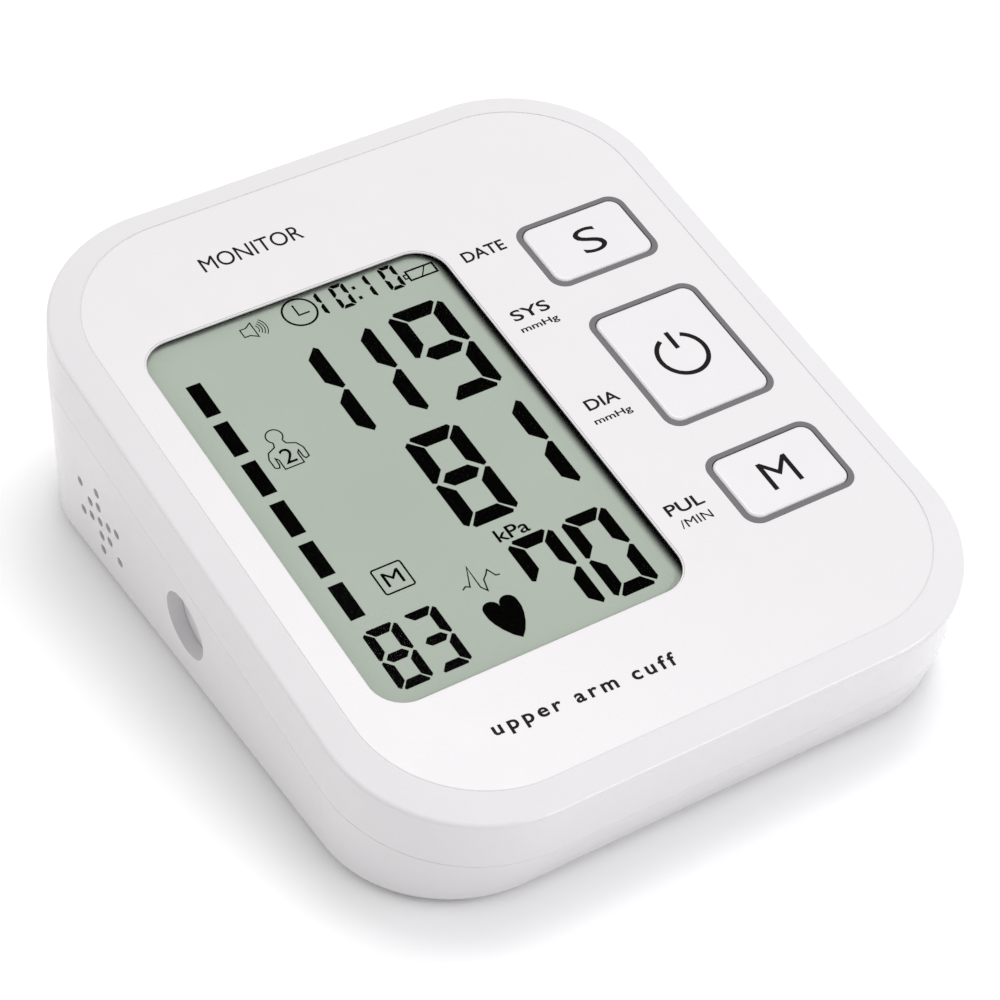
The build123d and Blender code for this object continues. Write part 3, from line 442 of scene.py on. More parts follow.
finishes = {
    "whiteShell": plastic("whiteShell", (0.68, 0.673, 0.68), (0.66, 0.653, 0.66), (0.2, 0.27)),
    "whitePanel": plastic(
        "whitePanel", (0.682, 0.668, 0.677), (0.67, 0.656, 0.665), (0.24, 0.3), 3200.0, 0.0000025, 0.05,
        Specular_IOR_Level=0.35,
    ),
    "keyCap": plastic(
        "keyCap", (0.685, 0.674, 0.682), (0.675, 0.664, 0.672), (0.24, 0.3), 2800.0, 0.000008, 0.04,
    ),
    "keyRing": plastic(
        "keyRing", (0.115, 0.115, 0.12), (0.1, 0.1, 0.104), (0.42, 0.52), 3000.0, 0.00001, 0.0,
    ),
    "blackTrim": plastic("blackTrim", (0.008, 0.008, 0.009), (0.012, 0.012, 0.013), (0.55, 0.65), 2400.0),
    "whiteNylon": plastic("whiteNylon", (0.7, 0.69, 0.64), (0.62, 0.61, 0.56), (0.4, 0.5), 1500.0, 0.00002),
    "blackNylon": plastic(
        "blackNylon", (0.02, 0.02, 0.022), (0.03, 0.03, 0.032), (0.4, 0.5), 1800.0, 0.00002,
    ),
    "blackEpoxy": plastic(
        "blackEpoxy", (0.015, 0.015, 0.016), (0.022, 0.022, 0.023), (0.5, 0.62), 3800.0, 0.00002,
    ),
    "greyRubber": plastic(
        "greyRubber", (0.055, 0.055, 0.057), (0.075, 0.075, 0.077), (0.7, 0.85), 1300.0, 0.00004,
    ),
    "silicone": plastic("silicone", (0.62, 0.62, 0.58), (0.5, 0.5, 0.46), (0.35, 0.5), 900.0, 0.00002, 0.3),
    "ferrite": plastic("ferrite", (0.05, 0.05, 0.052), (0.075, 0.072, 0.07), (0.6, 0.75), 1600.0, 0.00004),
    "cellJacket": plastic(
        "cellJacket", (0.02, 0.055, 0.13), (0.025, 0.07, 0.16), (0.16, 0.26), 1200.0, 0.00001,
    ),
    "cellBand": plastic("cellBand", (0.62, 0.61, 0.58), (0.55, 0.54, 0.51), (0.16, 0.26), 1200.0, 0.00001),
    "platedSteel": metal("platedSteel", (0.62, 0.62, 0.63), (0.4, 0.39, 0.37), (1, 1, 14), (0.2, 0.38)),
    "canSteel": metal("canSteel", (0.55, 0.55, 0.56), (0.33, 0.33, 0.32), (14, 1, 1), (0.28, 0.45)),
    "springNickel": metal("springNickel", (0.72, 0.7, 0.66), (0.5, 0.47, 0.42), (3, 1, 3), (0.14, 0.26)),
    "windings": striped(
        "windings", (0, 1, 0), 0.0003, (0.42, 0.13, 0.035), (0.62, 0.24, 0.08), 0.00005, Metallic=0.7,
    ),
    "zebra": striped("zebra", (1, 0, 0), 0.0004, (0.02, 0.02, 0.02), (0.6, 0.58, 0.54), 0.00001),
    "capSleeve": striped("capSleeve", (0, 1, 0), 0.0072, (0.02, 0.025, 0.06), (0.04, 0.05, 0.12), 0.0),
    "lens": buildLens(),
    # the display film carries painted shade of the window's recess at its right and back edges
    "film": buildFilm("film", (0.362, 0.41, 0.352), filmPaintedShade),
    "reflector": buildFilm("reflector", (0.5, 0.53, 0.47)),
    "lcdInk": buildInk("lcdInk", (0.0009, 0.0009, 0.0008), 0.5, 0.6, 0.0),
    "printInk": buildInk("printInk", (0.003, 0.003, 0.0035), 0.4, 0.5, 0.08),
    "board": buildBoard(),
    "pairY": buildTwoWires("pairY", (0, 1, 0), 0.0, (0.35, 0.008, 0.006), (0.01, 0.01, 0.011)),
    "glass": glassPlate("glass", (0.66, 0.72, 0.68), 0.25),
}
wearing = {
    "whiteShell": ["upper_cover", "lower_cover", "battery_door", "air_socket"],
    "whitePanel": ["face_panel", "window_bezel"],
    "keyCap": ["set_button", "power_button", "memory_button"],
    "keyRing": ["button_rings"],
    "blackTrim": ["display_frame"],
    "lens": ["display_lens"],
    "film": ["front_polariser"],
    "reflector": ["rear_reflector"],
    "glass": ["lcd_front_glass", "lcd_rear_glass"],
    "zebra": ["zebra_strips"],
    "greyRubber": ["rubber_feet", "pump_cradles", "pump_diaphragm"],
    "board": ["main_board"],
    "blackEpoxy": ["controller_chip", "memory_chip", "switch_bodies", "speaker_cone"],
    "whiteNylon": [
        "set_switch_plunger", "power_switch_plunger", "memory_switch_plunger", "wire_connectors",
        "air_manifold", "valve_seat", "pressure_sensor",
    ],
    "blackNylon": ["pump_head", "pump_cap", "motor_end_cap", "crank_wheel", "speaker_frame"],
    "platedSteel": [
        "board_screws", "case_screws", "valve_yoke", "valve_plunger", "crystal_can", "speaker_magnet",
    ],
    "canSteel": ["motor_can", "motor_rotor"],
    "springNickel": ["battery_springs", "battery_contacts"],
    "ferrite": ["motor_magnets"],
    "windings": ["valve_coil"],
    "silicone": ["pump_tube", "valve_tube", "sensor_tube", "socket_tube"],
    "pairY": ["motor_leads", "battery_leads", "valve_leads", "speaker_leads"],
    "capSleeve": ["board_capacitors"],
}
for finish, names in wearing.items():
    for name in names:
        nodes[name].data.materials.clear()
        nodes[name].data.materials.append(finishes[finish])
print("materials made:", len(finishes))


# mesh helpers

def newPiece(name, mesh, finish, body):
    piece = bpy.data.objects.new(name, mesh)
    scene.collection.objects.link(piece)
    mesh.materials.clear()
    mesh.materials.append(finishes[finish])
    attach(piece, body)
    return piece


def plates(outlines, low, high):  # flat plates with these outlines, between two heights
    mesh = bpy.data.meshes.new("plates")
    work = bmesh.new()
    for outline in outlines:
        corners = [work.verts.new((x, y, low)) for x, y in outline]
        bottom = work.faces.new(corners)
        lifted = bmesh.ops.extrude_face_region(work, geom=[bottom])
        for item in lifted["geom"]:
            if isinstance(item, bmesh.types.BMVert):
                item.co.z = high
    bmesh.ops.recalc_face_normals(work, faces=work.faces)
    bmesh.ops.triangulate(work, faces=[face for face in work.faces if len(face.verts) > 4])
    work.to_mesh(mesh)
    work.free()
    return mesh


def ribbon(points, width, closed=False):  # a line of even width as one quad for each run, with mitred joints
    count = len(points)
    spots = [Vector(point) for point in points]
    sides = []
    for index, spot in enumerate(spots):
        before = spots[(index - 1) % count] if closed or index else None
        after = spots[(index + 1) % count] if closed or index < count - 1 else None
        runs = []
        if before is not None:
            runs.append((spot - before).normalized())
        if after is not None:
            runs.append((after - spot).normalized())
        normals = [Vector((-run.y, run.x)) for run in runs]
        joint = sum(normals, Vector((0, 0)))
        joint.normalize()
        reachOut = width / 2 / max(0.35, joint.dot(normals[0]))
        sides.append((spot + joint * reachOut, spot - joint * reachOut))
    quads = []
    for index in range(count if closed else count - 1):
        left, right = sides[index]
        nextLeft, nextRight = sides[(index + 1) % count]
        quads.append([tuple(left), tuple(right), tuple(nextRight), tuple(nextLeft)])
    return quads


def arcPoints(x, y, radius, start, end, steps):
    turn = math.radians(end - start) / steps
    first = math.radians(start)
    return [
        (x + radius * math.cos(first + turn * step), y + radius * math.sin(first + turn * step))
        for step in range(steps + 1)
    ]


def roundedBox(x, y, halfWide, halfHigh, corner, steps, inset=0.0):  # a quarter turn at each corner
    outline = []
    for sideX, sideY, start in ((1, -1, -90), (1, 1, 0), (-1, 1, 90), (-1, -1, 180)):
        centreX = x + sideX * (halfWide - corner)
        centreY = y + sideY * (halfHigh - corner)
        outline += arcPoints(centreX, centreY, corner - inset, start, start + 90, steps)
    return outline


def otherSide(points):  # the same points mirrored, taken back again
    return [(-x, y) for x, y in reversed(points)]


def shifted(outlines, x, y):
    return [[(px + x, py + y) for px, py in outline] for outline in outlines]


# flat letters that fill a box
def lettering(words, width, height, x, y, low, high, weight=0.0, turn=0.0, spacing=1.0):
    curve = bpy.data.curves.new("letters", "FONT")
    curve.body = words
    curve.space_character = spacing
    curve.extrude = 0.5
    curve.offset = weight
    curve.resolution_u = 6
    holder = bpy.data.objects.new("letters", curve)
    scene.collection.objects.link(holder)
    bpy.context.view_layer.update()
    mesh = bpy.data.meshes.new_from_object(holder.evaluated_get(bpy.context.evaluated_depsgraph_get()))
    bpy.data.objects.remove(holder)
    xs = [vertex.co.x for vertex in mesh.vertices]
    ys = [vertex.co.y for vertex in mesh.vertices]
    mesh.transform(Matrix.Translation((-(min(xs) + max(xs)) / 2, -(min(ys) + max(ys)) / 2, 0)))
    sizes = (width / (max(xs) - min(xs)), height / (max(ys) - min(ys)), high - low, 1)
    mesh.transform(Matrix.Diagonal(sizes))
    mesh.transform(Matrix.Rotation(math.radians(turn), 4, "Z"))
    mesh.transform(Matrix.Translation((x, y, (low + high) / 2)))
    return mesh


def joined(meshes):  # several meshes as one
    work = bmesh.new()
    for mesh in meshes:
        work.from_mesh(mesh)
    whole = bpy.data.meshes.new("joined")
    bmesh.ops.remove_doubles(work, verts=work.verts, dist=1e-7)
    work.to_mesh(whole)
    work.free()
    return whole


def settle(holder, place):  # the result of a node tree as a plain mesh, put in place
    bpy.context.view_layer.update()
    mesh = bpy.data.meshes.new_from_object(holder.evaluated_get(bpy.context.evaluated_depsgraph_get()))
    holder.modifiers.clear()
    bpy.data.objects.remove(holder)
    mesh.transform(place)
    return mesh


def runTree(tree, place, **values):  # one modifier, its inputs set by identifier
    holder = bpy.data.objects.new("holder", bpy.data.meshes.new("holder"))
    scene.collection.objects.link(holder)
    modifier = holder.modifiers.new("build", "NODES")
    modifier.node_group = tree
    for item in tree.interface.items_tree:
        if item.item_type == "SOCKET" and item.in_out == "INPUT":
            key = item.name.replace(" ", "_")
            if key in values:
                modifier[item.identifier] = values[key]
    return settle(holder, place)


def newTree(name, inputs):
    tree = bpy.data.node_groups.new(name, "GeometryNodeTree")
    tree.interface.new_socket("Geometry", in_out="OUTPUT", socket_type="NodeSocketGeometry")
    for label, kind in inputs:
        tree.interface.new_socket(label, in_out="INPUT", socket_type=kind)
    start = tree.nodes.new("NodeGroupInput")
    end = tree.nodes.new("NodeGroupOutput")
    realize = tree.nodes.new("GeometryNodeRealizeInstances")
    paint = tree.nodes.new("GeometryNodeSetMaterial")
    wire(
        tree,
        (realize.outputs[0], paint.inputs["Geometry"]),
        (start.outputs["Finish"], paint.inputs["Material"]),
        (paint.outputs[0], end.inputs[0]),
    )
    return tree, start, realize


# display contents

filmTop = faceSpot("front_polariser").z
ink = {"sunk": 0.01, "raised": 0.03}  # how far the figures go into the film, and stand on it
inkLow = filmTop - ink["sunk"]
inkHigh = filmTop + ink["raised"]
displayShift = (-0.91, -1.13)  # where the figures sit on the film, from the window's middle
digitShapes = {  # lit bars of each figure: a to f clockwise from the top, g in the middle
    "0": "abcdef", "1": "bc", "3": "abcdg", "7": "abcf", "8": "abcdefg", "9": "abcdfg",
}


def digitBars(figure, width, height, bar, gap):  # outlines of the lit bars, from the lower left corner
    half = height / 2
    tip, cut = 0.25 * bar, 0.36 * bar
    top = [
        (bar * 0.38 + gap / 2, height - 0.2 * bar), (bar * 0.5 + gap / 2, height),
        (width - bar * 0.5 - gap / 2, height), (width - bar * 0.38 - gap / 2, height - 0.2 * bar),
        (width - bar - gap * 0.7, height - bar), (bar + gap * 0.7, height - bar),
    ]
    right = [
        (width - bar, height - bar - gap * 0.1), (width - tip, height - cut * 0.5 - gap * 0.3),
        (width, height - cut - gap * 0.6), (width, half + gap), (width - tip, half + gap * 0.3),
        (width - bar, half + bar * 0.85 + gap * 0.2),
    ]
    flat = [
        (bar * 0.5 + gap * 0.7, half), (bar + gap * 0.6, half + bar * 0.53),
        (width - bar - gap * 0.6, half + bar * 0.53), (width - bar * 0.5 - gap * 0.7, half),
        (width - bar - gap * 0.6, half - bar * 0.53), (bar + gap * 0.6, half - bar * 0.53),
    ]
    mirrored = [(width - x, y) for x, y in right]
    bars = {
        "a": top,
        "b": right,
        "c": [(x, height - y) for x, y in right],
        "d": [(x, height - y) for x, y in top],
        "e": [(x, height - y) for x, y in mirrored],
        "f": mirrored,
        "g": flat,
    }
    return [bars[name] for name in digitShapes[figure]]


displayRows = [  # figures, right edge of each, base, width, height, bar and gap, from the window's middle
    ("119", (0.7, 10.8, 25.15), 10.2, 10.9, 21.9, 2.85, 0.55),
    ("81", (12.95, 25.15), -14.4, 10.4, 21.1, 2.8, 0.5),
    ("70", (14.9, 25.15), -37.35, 8.6, 17.85, 2.4, 0.5),
    ("83", (-17.15, -10.1), -37.1, 6.25, 12.6, 1.65, 0.4),
    ("1010", (6.6, 11.85, 16.15, 21.6), 36.75, 2.95, 5.7, 0.75, 0.25),
]
figureOutlines = []
for figures, rightEdges, base, width, height, bar, gap in displayRows:
    for figure, rightEdge in zip(figures, rightEdges):
        bars = digitBars(figure, width, height, bar, gap)
        figureOutlines += shifted(bars, rightEdge - width, base)
colon = {"left": 12.75, "right": 13.35, "bases": (37.5, 40.0), "height": 0.7}
for base in colon["bases"]:
    left, right, top = colon["left"], colon["right"], base + colon["height"]
    figureOutlines.append([(left, base), (right, base), (right, top), (left, top)])
onWindow = toFace @ Matrix.Translation((windowSpot.x + displayShift[0], windowSpot.y + displayShift[1], 0))
figuresMesh = plates(figureOutlines, inkLow, inkHigh)
figuresMesh.transform(onWindow)
newPiece("displayFigures", figuresMesh, "lcdInk", "housing")

ladder = {"count": 6, "left": -23.4, "top": 32.9, "width": 2.7, "length": 7.45, "pitch": 9.42}


def buildLadderTree():
    tree, start, realize = newTree(
        "ladderBars",
        [
            ("Count", "NodeSocketInt"), ("Pitch", "NodeSocketFloat"), ("Width", "NodeSocketFloat"),
            ("Length", "NodeSocketFloat"), ("Depth", "NodeSocketFloat"), ("Finish", "NodeSocketMaterial"),
        ],
    )
    line = tree.nodes.new("GeometryNodeMeshLine")
    step = tree.nodes.new("ShaderNodeCombineXYZ")
    size = tree.nodes.new("ShaderNodeCombineXYZ")
    brick = tree.nodes.new("GeometryNodeMeshCube")
    copies = tree.nodes.new("GeometryNodeInstanceOnPoints")
    negative = mathNode(tree, "MULTIPLY", start.outputs["Pitch"], -1.0)
    wire(
        tree,
        (start.outputs["Count"], line.inputs["Count"]),
        (negative, step.inputs["Y"]),
        (step.outputs[0], line.inputs["Offset"]),
        (start.outputs["Width"], size.inputs["X"]),
        (start.outputs["Length"], size.inputs["Y"]),
        (start.outputs["Depth"], size.inputs["Z"]),
        (size.outputs[0], brick.inputs["Size"]),
        (line.outputs[0], copies.inputs["Points"]),
        (brick.outputs["Mesh"], copies.inputs["Instance"]),
        (copies.outputs[0], realize.inputs[0]),
    )
    return tree


ladderX = ladder["left"] + ladder["width"] / 2
ladderY = ladder["top"] - ladder["length"] / 2
ladderPlace = Matrix.Translation((ladderX, ladderY, 0))
ladderMesh = runTree(
    buildLadderTree(),
    onWindow @ ladderPlace @ Matrix.Translation((0, 0, (inkLow + inkHigh) / 2)),
    Count=ladder["count"], Pitch=ladder["pitch"], Width=ladder["width"], Length=ladder["length"],
    Depth=inkHigh - inkLow, Finish=finishes["lcdInk"],
)
newPiece("pressureLadder", ladderMesh, "lcdInk", "housing")

icons = {  # places from the window's middle, and line widths
    "clock": {"x": 2.0, "y": 39.5, "radius": 3.05, "line": 0.36, "handLine": 0.3},
    "speaker": {
        "x": -8.2, "y": 39.3, "line": 0.2, "waves": 4, "waveX": 1.0, "waveRadius": 1.15, "waveStep": 0.5,
        "waveTurn": 42, "waveLine": 0.16,
    },
    "battery": {
        "x": 22.9, "y": 38.6, "width": 5.3, "height": 2.2, "line": 0.36, "nubWidth": 0.75, "nubHalf": 0.45,
        "nubLine": 0.26, "slash": (0.42, 0.72), "slashLine": 0.22,
    },
    "box": {"x": -13.1, "y": -17.15, "width": 5.35, "height": 5.3, "corner": 0.4, "line": 0.3},
    "beat": {"x": -4.5, "y": -24.3, "line": 0.22},
    "heart": {"x": -0.85, "y": -36.75, "lobe": 1.55, "shoulder": 6.9, "turn": 200, "steps": 12},
    "person": {"x": -15.5, "y": 11.1, "headY": 6.0, "headRadius": 1.45, "line": 0.22},
}
iconWords = [  # words, width, height, across, up, weight
    ("M", 3.1, 2.9, icons["box"]["x"], icons["box"]["y"], 0.0),
    ("2", 2.1, 3.2, icons["person"]["x"], icons["person"]["y"] + 1.4, 0.0),
    ("kPa", 6.0, 2.6, 8.9, -17.6, 0.008),
]


def drawn(icon, points, line, closed=False):  # a line through points that are measured from the icon's place
    return ribbon([(icon["x"] + x, icon["y"] + y) for x, y in points], line, closed=closed)


def clockIcon(icon):
    rim = arcPoints(icon["x"], icon["y"], icon["radius"], 0, 352.5, 47)
    hands = [(-0.45, 1.9), (-0.45, -0.6), (1.6, -0.6)]
    return ribbon(rim, icon["line"], closed=True) + drawn(icon, hands, icon["handLine"])


def speakerIcon(icon):
    horn = [(-0.95, -0.85), (-0.95, 0.95), (0.15, 0.95), (1.35, 1.75), (1.35, -1.65), (0.15, -0.85)]
    outlines = drawn(icon, horn, icon["line"], closed=True)
    for step in range(icon["waves"]):
        radius = icon["waveRadius"] + icon["waveStep"] * step
        wave = arcPoints(icon["x"] + icon["waveX"], icon["y"], radius, -icon["waveTurn"], icon["waveTurn"], 8)
        outlines += ribbon(wave, icon["waveLine"])
    return outlines


def batteryIcon(icon):
    wide, half = icon["width"], icon["height"] / 2
    case = [(0, -half), (wide, -half), (wide, half), (0, half)]
    nubLeft, nubHalf = -icon["nubWidth"], icon["nubHalf"]
    nub = [(0, -nubHalf), (nubLeft, -nubHalf), (nubLeft, nubHalf), (0, nubHalf)]
    slash = [(wide * icon["slash"][0], -half), (wide * icon["slash"][1], half)]
    outlines = drawn(icon, case, icon["line"], closed=True)
    outlines += drawn(icon, nub, icon["nubLine"])
    return outlines + drawn(icon, slash, icon["slashLine"])


def boxIcon(icon):
    outline = roundedBox(icon["x"], icon["y"], icon["width"] / 2, icon["height"] / 2, icon["corner"], 4)
    return ribbon(outline, icon["line"], closed=True)


def beatIcon(icon):
    beat = [
        (0, -0.15), (0.7, 0.3), (1.35, -0.1), (2.9, 3.6), (2.85, -0.9), (3.55, -2.0), (4.1, 0.2),
        (5.0, 1.0), (5.6, 1.75), (6.3, 0.1), (7.0, 0.0),
    ]
    return drawn(icon, beat, icon["line"])


def heartIcon(icon):  # two lobes on a long point
    right = [(0, icon["shoulder"])]
    for step in range(1, icon["steps"]):
        angle = math.radians(icon["turn"] * (step / icon["steps"]))
        x = icon["lobe"] - icon["lobe"] * math.cos(angle)
        right.append((x, icon["shoulder"] + icon["lobe"] * math.sin(angle)))
    right += [(3.08, 5.5), (2.75, 4.2), (2.05, 2.6), (1.1, 1.1), (0, 0)]
    return shifted([right + otherSide(right[1:-1])], icon["x"], icon["y"])


def personIcon(icon):  # head and shoulders, arms at the sides
    head = arcPoints(0, icon["headY"], icon["headRadius"], -55, 235, 20)
    rightSide = [
        (0.85, 4.75), (1.1, 3.9), (2.6, 3.2), (3.2, 1.9), (3.15, -0.1), (2.45, -0.35), (2.2, 0.2),
        (2.15, 1.7),
    ]
    trunk = [(1.75, 1.2), (1.75, -1.0), (-1.75, -1.0), (-1.75, 1.2)]
    outlines = drawn(icon, head, icon["line"])
    return outlines + drawn(icon, rightSide + trunk + otherSide(rightSide), icon["line"])


iconMakers = {
    "clock": clockIcon, "speaker": speakerIcon, "battery": batteryIcon, "box": boxIcon, "beat": beatIcon,
    "heart": heartIcon, "person": personIcon,
}
iconOutlines = []
for name, maker in iconMakers.items():
    iconOutlines += maker(icons[name])
iconMeshes = [plates(iconOutlines, inkLow, inkHigh)]
for words, width, height, x, y, weight in iconWords:
    iconMeshes.append(lettering(words, width, height, x, y, inkLow, inkHigh, weight))
iconMesh = joined(iconMeshes)
iconMesh.transform(onWindow)
newPiece("displayIcons", iconMesh, "lcdInk", "housing")
print("display contents drawn")


# printing on the panel and the keys

printing = {"sunk": 0.01, "raised": 0.025}  # how far the ink goes into a face, and stands on it
panelPrint = [  # words, width, height, across, up the slope, weight, turn in degrees, spacing
    ("DATE", 8.4, 2.45, 17.95, 34.6, 0.014, 0.0, 1.0),
    ("SYS", 7.3, 2.45, 17.7, 19.0, 0.014, 0.0, 1.0),
    ("mmHg", 7.4, 1.75, 17.6, 15.5, 0.014, 0.0, 1.0),
    ("DIA", 6.3, 2.35, 17.6, -3.8, 0.014, 0.0, 1.0),
    ("mmHg", 7.3, 1.75, 17.5, -7.6, 0.014, 0.0, 1.0),
    ("PUL", 7.1, 2.35, 17.3, -29.1, 0.014, 0.0, 1.0),
    ("/MIN", 6.1, 1.75, 17.4, -32.5, 0.0, 0.0, 1.0),  # a wide capital M tears when it is thickened
    ("MONITOR", 19.4, 3.3, -17.9, 52.7, 0.0, 0.0, 1.0),
    ("upper arm cuff", 33.0, 3.4, -18.0, -54.0, 0.022, -2.6, 1.35),
]
panelMeshes = []
for words, width, height, x, y, weight, turn, spacing in panelPrint:
    low, high = -printing["sunk"], printing["raised"]
    panelMeshes.append(lettering(words, width, height, x, y, low, high, weight, turn, spacing))
panelMesh = joined(panelMeshes)
panelMesh.transform(toFace)
newPiece("panelPrint", panelMesh, "printInk", "housing")

seamBead = {"corner": 22.1, "inset": 0.04, "width": 0.36, "low": -0.6, "high": -0.12, "steps": 24}
beadLine = roundedBox(
    0, 0, *halfSize("face_panel"), seamBead["corner"], seamBead["steps"], seamBead["inset"]
)
beadMesh = plates(ribbon(beadLine, seamBead["width"], closed=True), seamBead["low"], seamBead["high"])
beadMesh.transform(toFace)
newPiece("panelSeam", beadMesh, "whitePanel", "housing")

keyBodies = {"set_button": "set_key", "power_button": "power_key", "memory_button": "memory_key"}
keyLetters = {  # letter, width, height, across and up from the key's middle, weight
    "set_button": ("S", 4.9, 6.0, 0.4, -0.2, -0.006),
    "memory_button": ("M", 5.9, 6.0, -0.3, -0.2, -0.003),
}
powerMark = {
    "radius": 4.45, "line": 0.85, "gap": 27.0, "shift": -0.4, "stemFoot": 1.4, "stemOver": 0.9, "steps": 60,
}


def powerSign(spot, low, high):  # a ring open at the top, with a stem through the gap
    centreY = spot.y + powerMark["shift"]
    radius, gap, line = powerMark["radius"], powerMark["gap"], powerMark["line"]
    ring = arcPoints(spot.x, centreY, radius, 90 + gap, 450 - gap, powerMark["steps"])
    stem = [(spot.x, centreY + powerMark["stemFoot"]), (spot.x, centreY + radius + powerMark["stemOver"])]
    return plates(ribbon(ring, line) + ribbon(stem, line), low, high)


for name, body in keyBodies.items():
    spot = faceSpot(name)
    low, high = spot.z - printing["sunk"], spot.z + printing["raised"]
    if name in keyLetters:
        letter, width, height, x, y, weight = keyLetters[name]
        mark = lettering(letter, width, height, spot.x + x, spot.y + y, low, high, weight)
    else:
        mark = powerSign(spot, low, high)
    mark.transform(toFace)
    newPiece(name.replace("button", "mark"), mark, "printInk", body)
print("printing done")


# battery cells

cellSizes = {
    "count": 4, "radius": 7.05, "nubRadius": 2.75, "nubHeight": 1.4, "band": 12.0, "sides": 48,
}


def lathe(profile, sides, start, turned):  # a profile of (along, radius) spun about X
    work = bmesh.new()
    rings = []
    for along, radius in profile:
        ring = []
        for side in range(sides):
            angle = 2 * math.pi * side / sides
            x = -along if turned else along
            spot = Vector((x, radius * math.cos(angle), radius * math.sin(angle))) * mm
            ring.append(work.verts.new(spot + start))
        rings.append(ring)
    for first, second in zip(rings, rings[1:]):
        for side in range(sides):
            after = (side + 1) % sides
            work.faces.new((first[side], first[after], second[after], second[side]))
    work.faces.new(rings[0])
    work.faces.new(list(reversed(rings[-1])))
    bmesh.ops.recalc_face_normals(work, faces=work.faces)
    for face in work.faces:
        face.smooth = len(face.verts) == 4
    mesh = bpy.data.meshes.new("lathe")
    work.to_mesh(mesh)
    work.free()
    return mesh


cellLow, cellHigh = (Vector(corner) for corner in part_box("battery_cells"))
cellPitch = (cellHigh.y - cellLow.y - 2 * cellSizes["radius"] * mm) / (cellSizes["count"] - 1)
cellHalf = (cellHigh.x - cellLow.x) / 2 / mm
jacket = cellSizes["radius"]
nubRadius = cellSizes["nubRadius"]
shoulder = cellHalf - cellSizes["nubHeight"]
bandStart = shoulder - cellSizes["band"]
metalProfile = [  # along the cell, radius
    (-cellHalf + 0.1, 4.6), (-cellHalf, 4.4), (-cellHalf + 0.05, 5.9), (-cellHalf + 0.3, 6.5),
    (shoulder - 0.35, 6.5), (shoulder - 0.1, 5.6), (shoulder - 0.25, 3.6), (shoulder, nubRadius),
    (cellHalf - 0.3, nubRadius), (cellHalf, nubRadius - 0.35),
]
jacketProfile = [
    (-cellHalf + 0.25, 6.0), (-cellHalf + 0.2, jacket - 0.35), (-cellHalf + 0.5, jacket), (bandStart, jacket),
    (bandStart, jacket - 0.2),
]
bandProfile = [
    (bandStart, jacket - 0.2), (bandStart, jacket), (shoulder - 0.5, jacket),
    (shoulder - 0.15, jacket - 0.35), (shoulder - 0.2, 5.9),
]
cellParts = {"cellMetal": metalProfile, "cellJackets": jacketProfile, "cellBands": bandProfile}
cellFinish = {"cellMetal": "springNickel", "cellJackets": "cellJacket", "cellBands": "cellBand"}
for name, profile in cellParts.items():
    meshes = []
    for index in range(cellSizes["count"]):
        middleSpot = Vector(((cellLow.x + cellHigh.x) / 2, 0, (cellLow.z + cellHigh.z) / 2))
        middleSpot.y = cellLow.y + jacket * mm + cellPitch * index
        meshes.append(lathe(profile, cellSizes["sides"], middleSpot, index % 2 == 1))
    newPiece(name, joined(meshes), cellFinish[name], "housing")
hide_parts("battery_cells")
print("battery cells made")


# floor, light and view

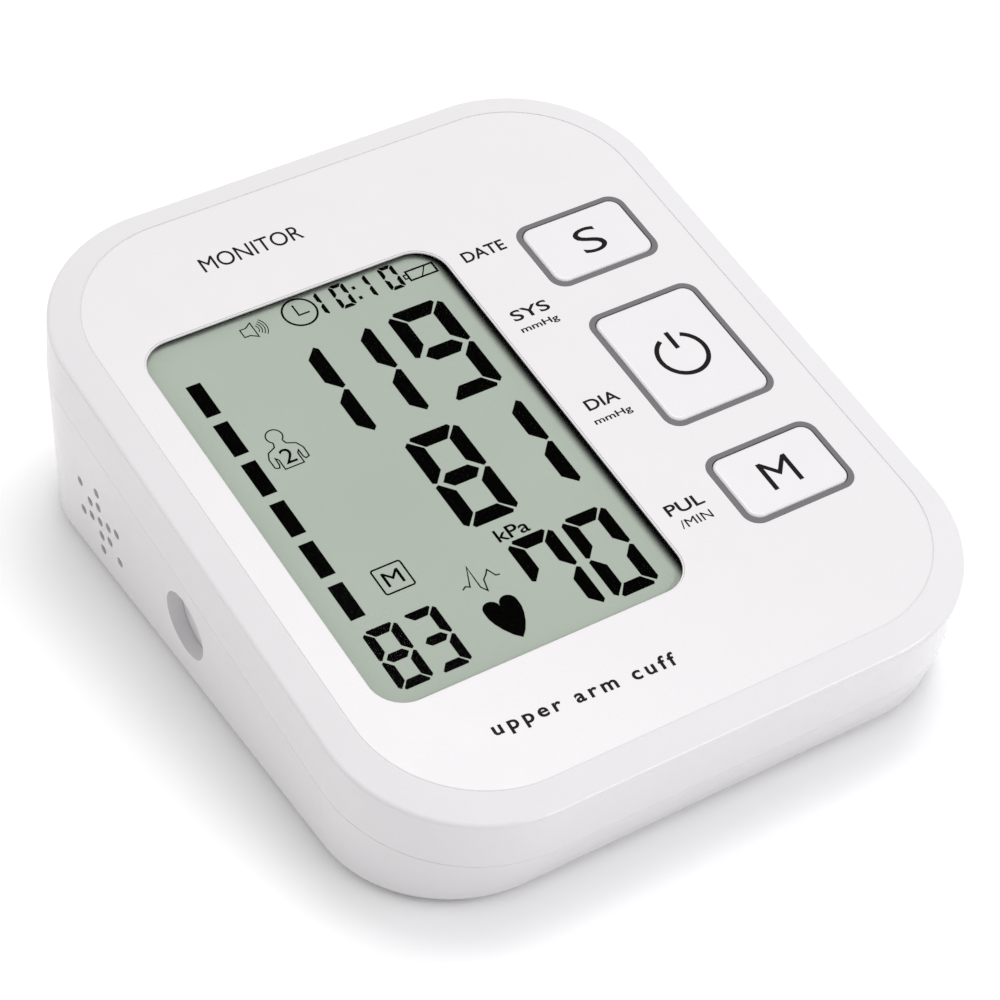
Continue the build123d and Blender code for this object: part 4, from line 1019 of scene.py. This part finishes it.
floorHalf = 3
floorCorners = [(x * floorHalf, y * floorHalf, 0) for x, y in ((-1, -1), (1, -1), (1, 1), (-1, 1))]
floorMesh = bpy.data.meshes.new("floor")
floorMesh.from_pydata(floorCorners, [], [(0, 1, 2, 3)])
floor = bpy.data.objects.new("floor", floorMesh)
scene.collection.objects.link(floor)
floorFinish, floorTree, floorShader, floorVector = startMaterial("floorPaper", Roughness=0.8)
floorTone = mixColor(
    floorTree, spread(floorTree, noise(floorTree, floorVector, 3.0), 0.0, 1.0),
    (0.97, 0.97, 0.972, 1), (0.96, 0.96, 0.962, 1),
)
wire(floorTree, (floorTone, floorShader.inputs["Base Color"]))
floorShader.inputs["Specular IOR Level"].default_value = 0.1
floorMesh.materials.append(floorFinish)

skyLight = {"Color": (1.0, 0.99, 0.995, 1), "Strength": 0.72}
sky = bpy.data.worlds.new("studioSky")
sky.use_nodes = True
for label, value in skyLight.items():
    sky.node_tree.nodes["Background"].inputs[label].default_value = value
scene.world = sky


lamps = {  # turn from +Y towards +X and rise in degrees; distance, width and height in metres; watts; colour
    "key": (54, 76, 0.95, 0.45, 0.45, 3.6, (1, 1, 1)),
    "leftStrip": (-47, 24, 0.7, 0.5, 0.03, 0.42, (1.0, 0.97, 0.94)),
    "frontStrip": (149, 38, 0.7, 0.5, 0.03, 1.2, (0.97, 0.96, 1.0)),
}


def softbox(name, turn, rise, distance, wide, high, power, color):
    light = bpy.data.lights.new(name, "AREA")
    light.shape = "RECTANGLE"
    light.size = wide
    light.size_y = high
    light.energy = power
    light.color = color
    lamp = bpy.data.objects.new(name, light)
    scene.collection.objects.link(lamp)
    turn, rise = math.radians(turn), math.radians(rise)
    side = Vector((math.sin(turn) * math.cos(rise), math.cos(turn) * math.cos(rise), math.sin(rise)))
    lamp.location = side * distance
    lamp.rotation_euler = (-side).to_track_quat("-Z", "Y").to_euler()


for name, settings in lamps.items():
    softbox(name, *settings)

view = {  # degrees; distance and aim in millimetres, the aim on the face
    "turn": 33.08, "down": 41.74, "roll": 1.12, "distance": 509.6, "aim": (-9.17, -14.54, 0),
    "lens": 113.37, "sensor": 36.0,
}
optics = bpy.data.cameras.new("camera")
optics.lens = view["lens"]
optics.sensor_width = view["sensor"]
camera = bpy.data.objects.new("camera", optics)
scene.collection.objects.link(camera)
turn, down = math.radians(view["turn"]), math.radians(view["down"])
look = Vector((math.sin(turn) * math.cos(down), math.cos(turn) * math.cos(down), -math.sin(down)))
camera.location = toFace @ Vector(view["aim"]) - look * view["distance"] * mm
level = look.to_track_quat("-Z", "Y").to_matrix()
camera.rotation_euler = (level @ Matrix.Rotation(math.radians(view["roll"]), 3, "Z")).to_euler()
scene.camera = camera
print("light and camera set")
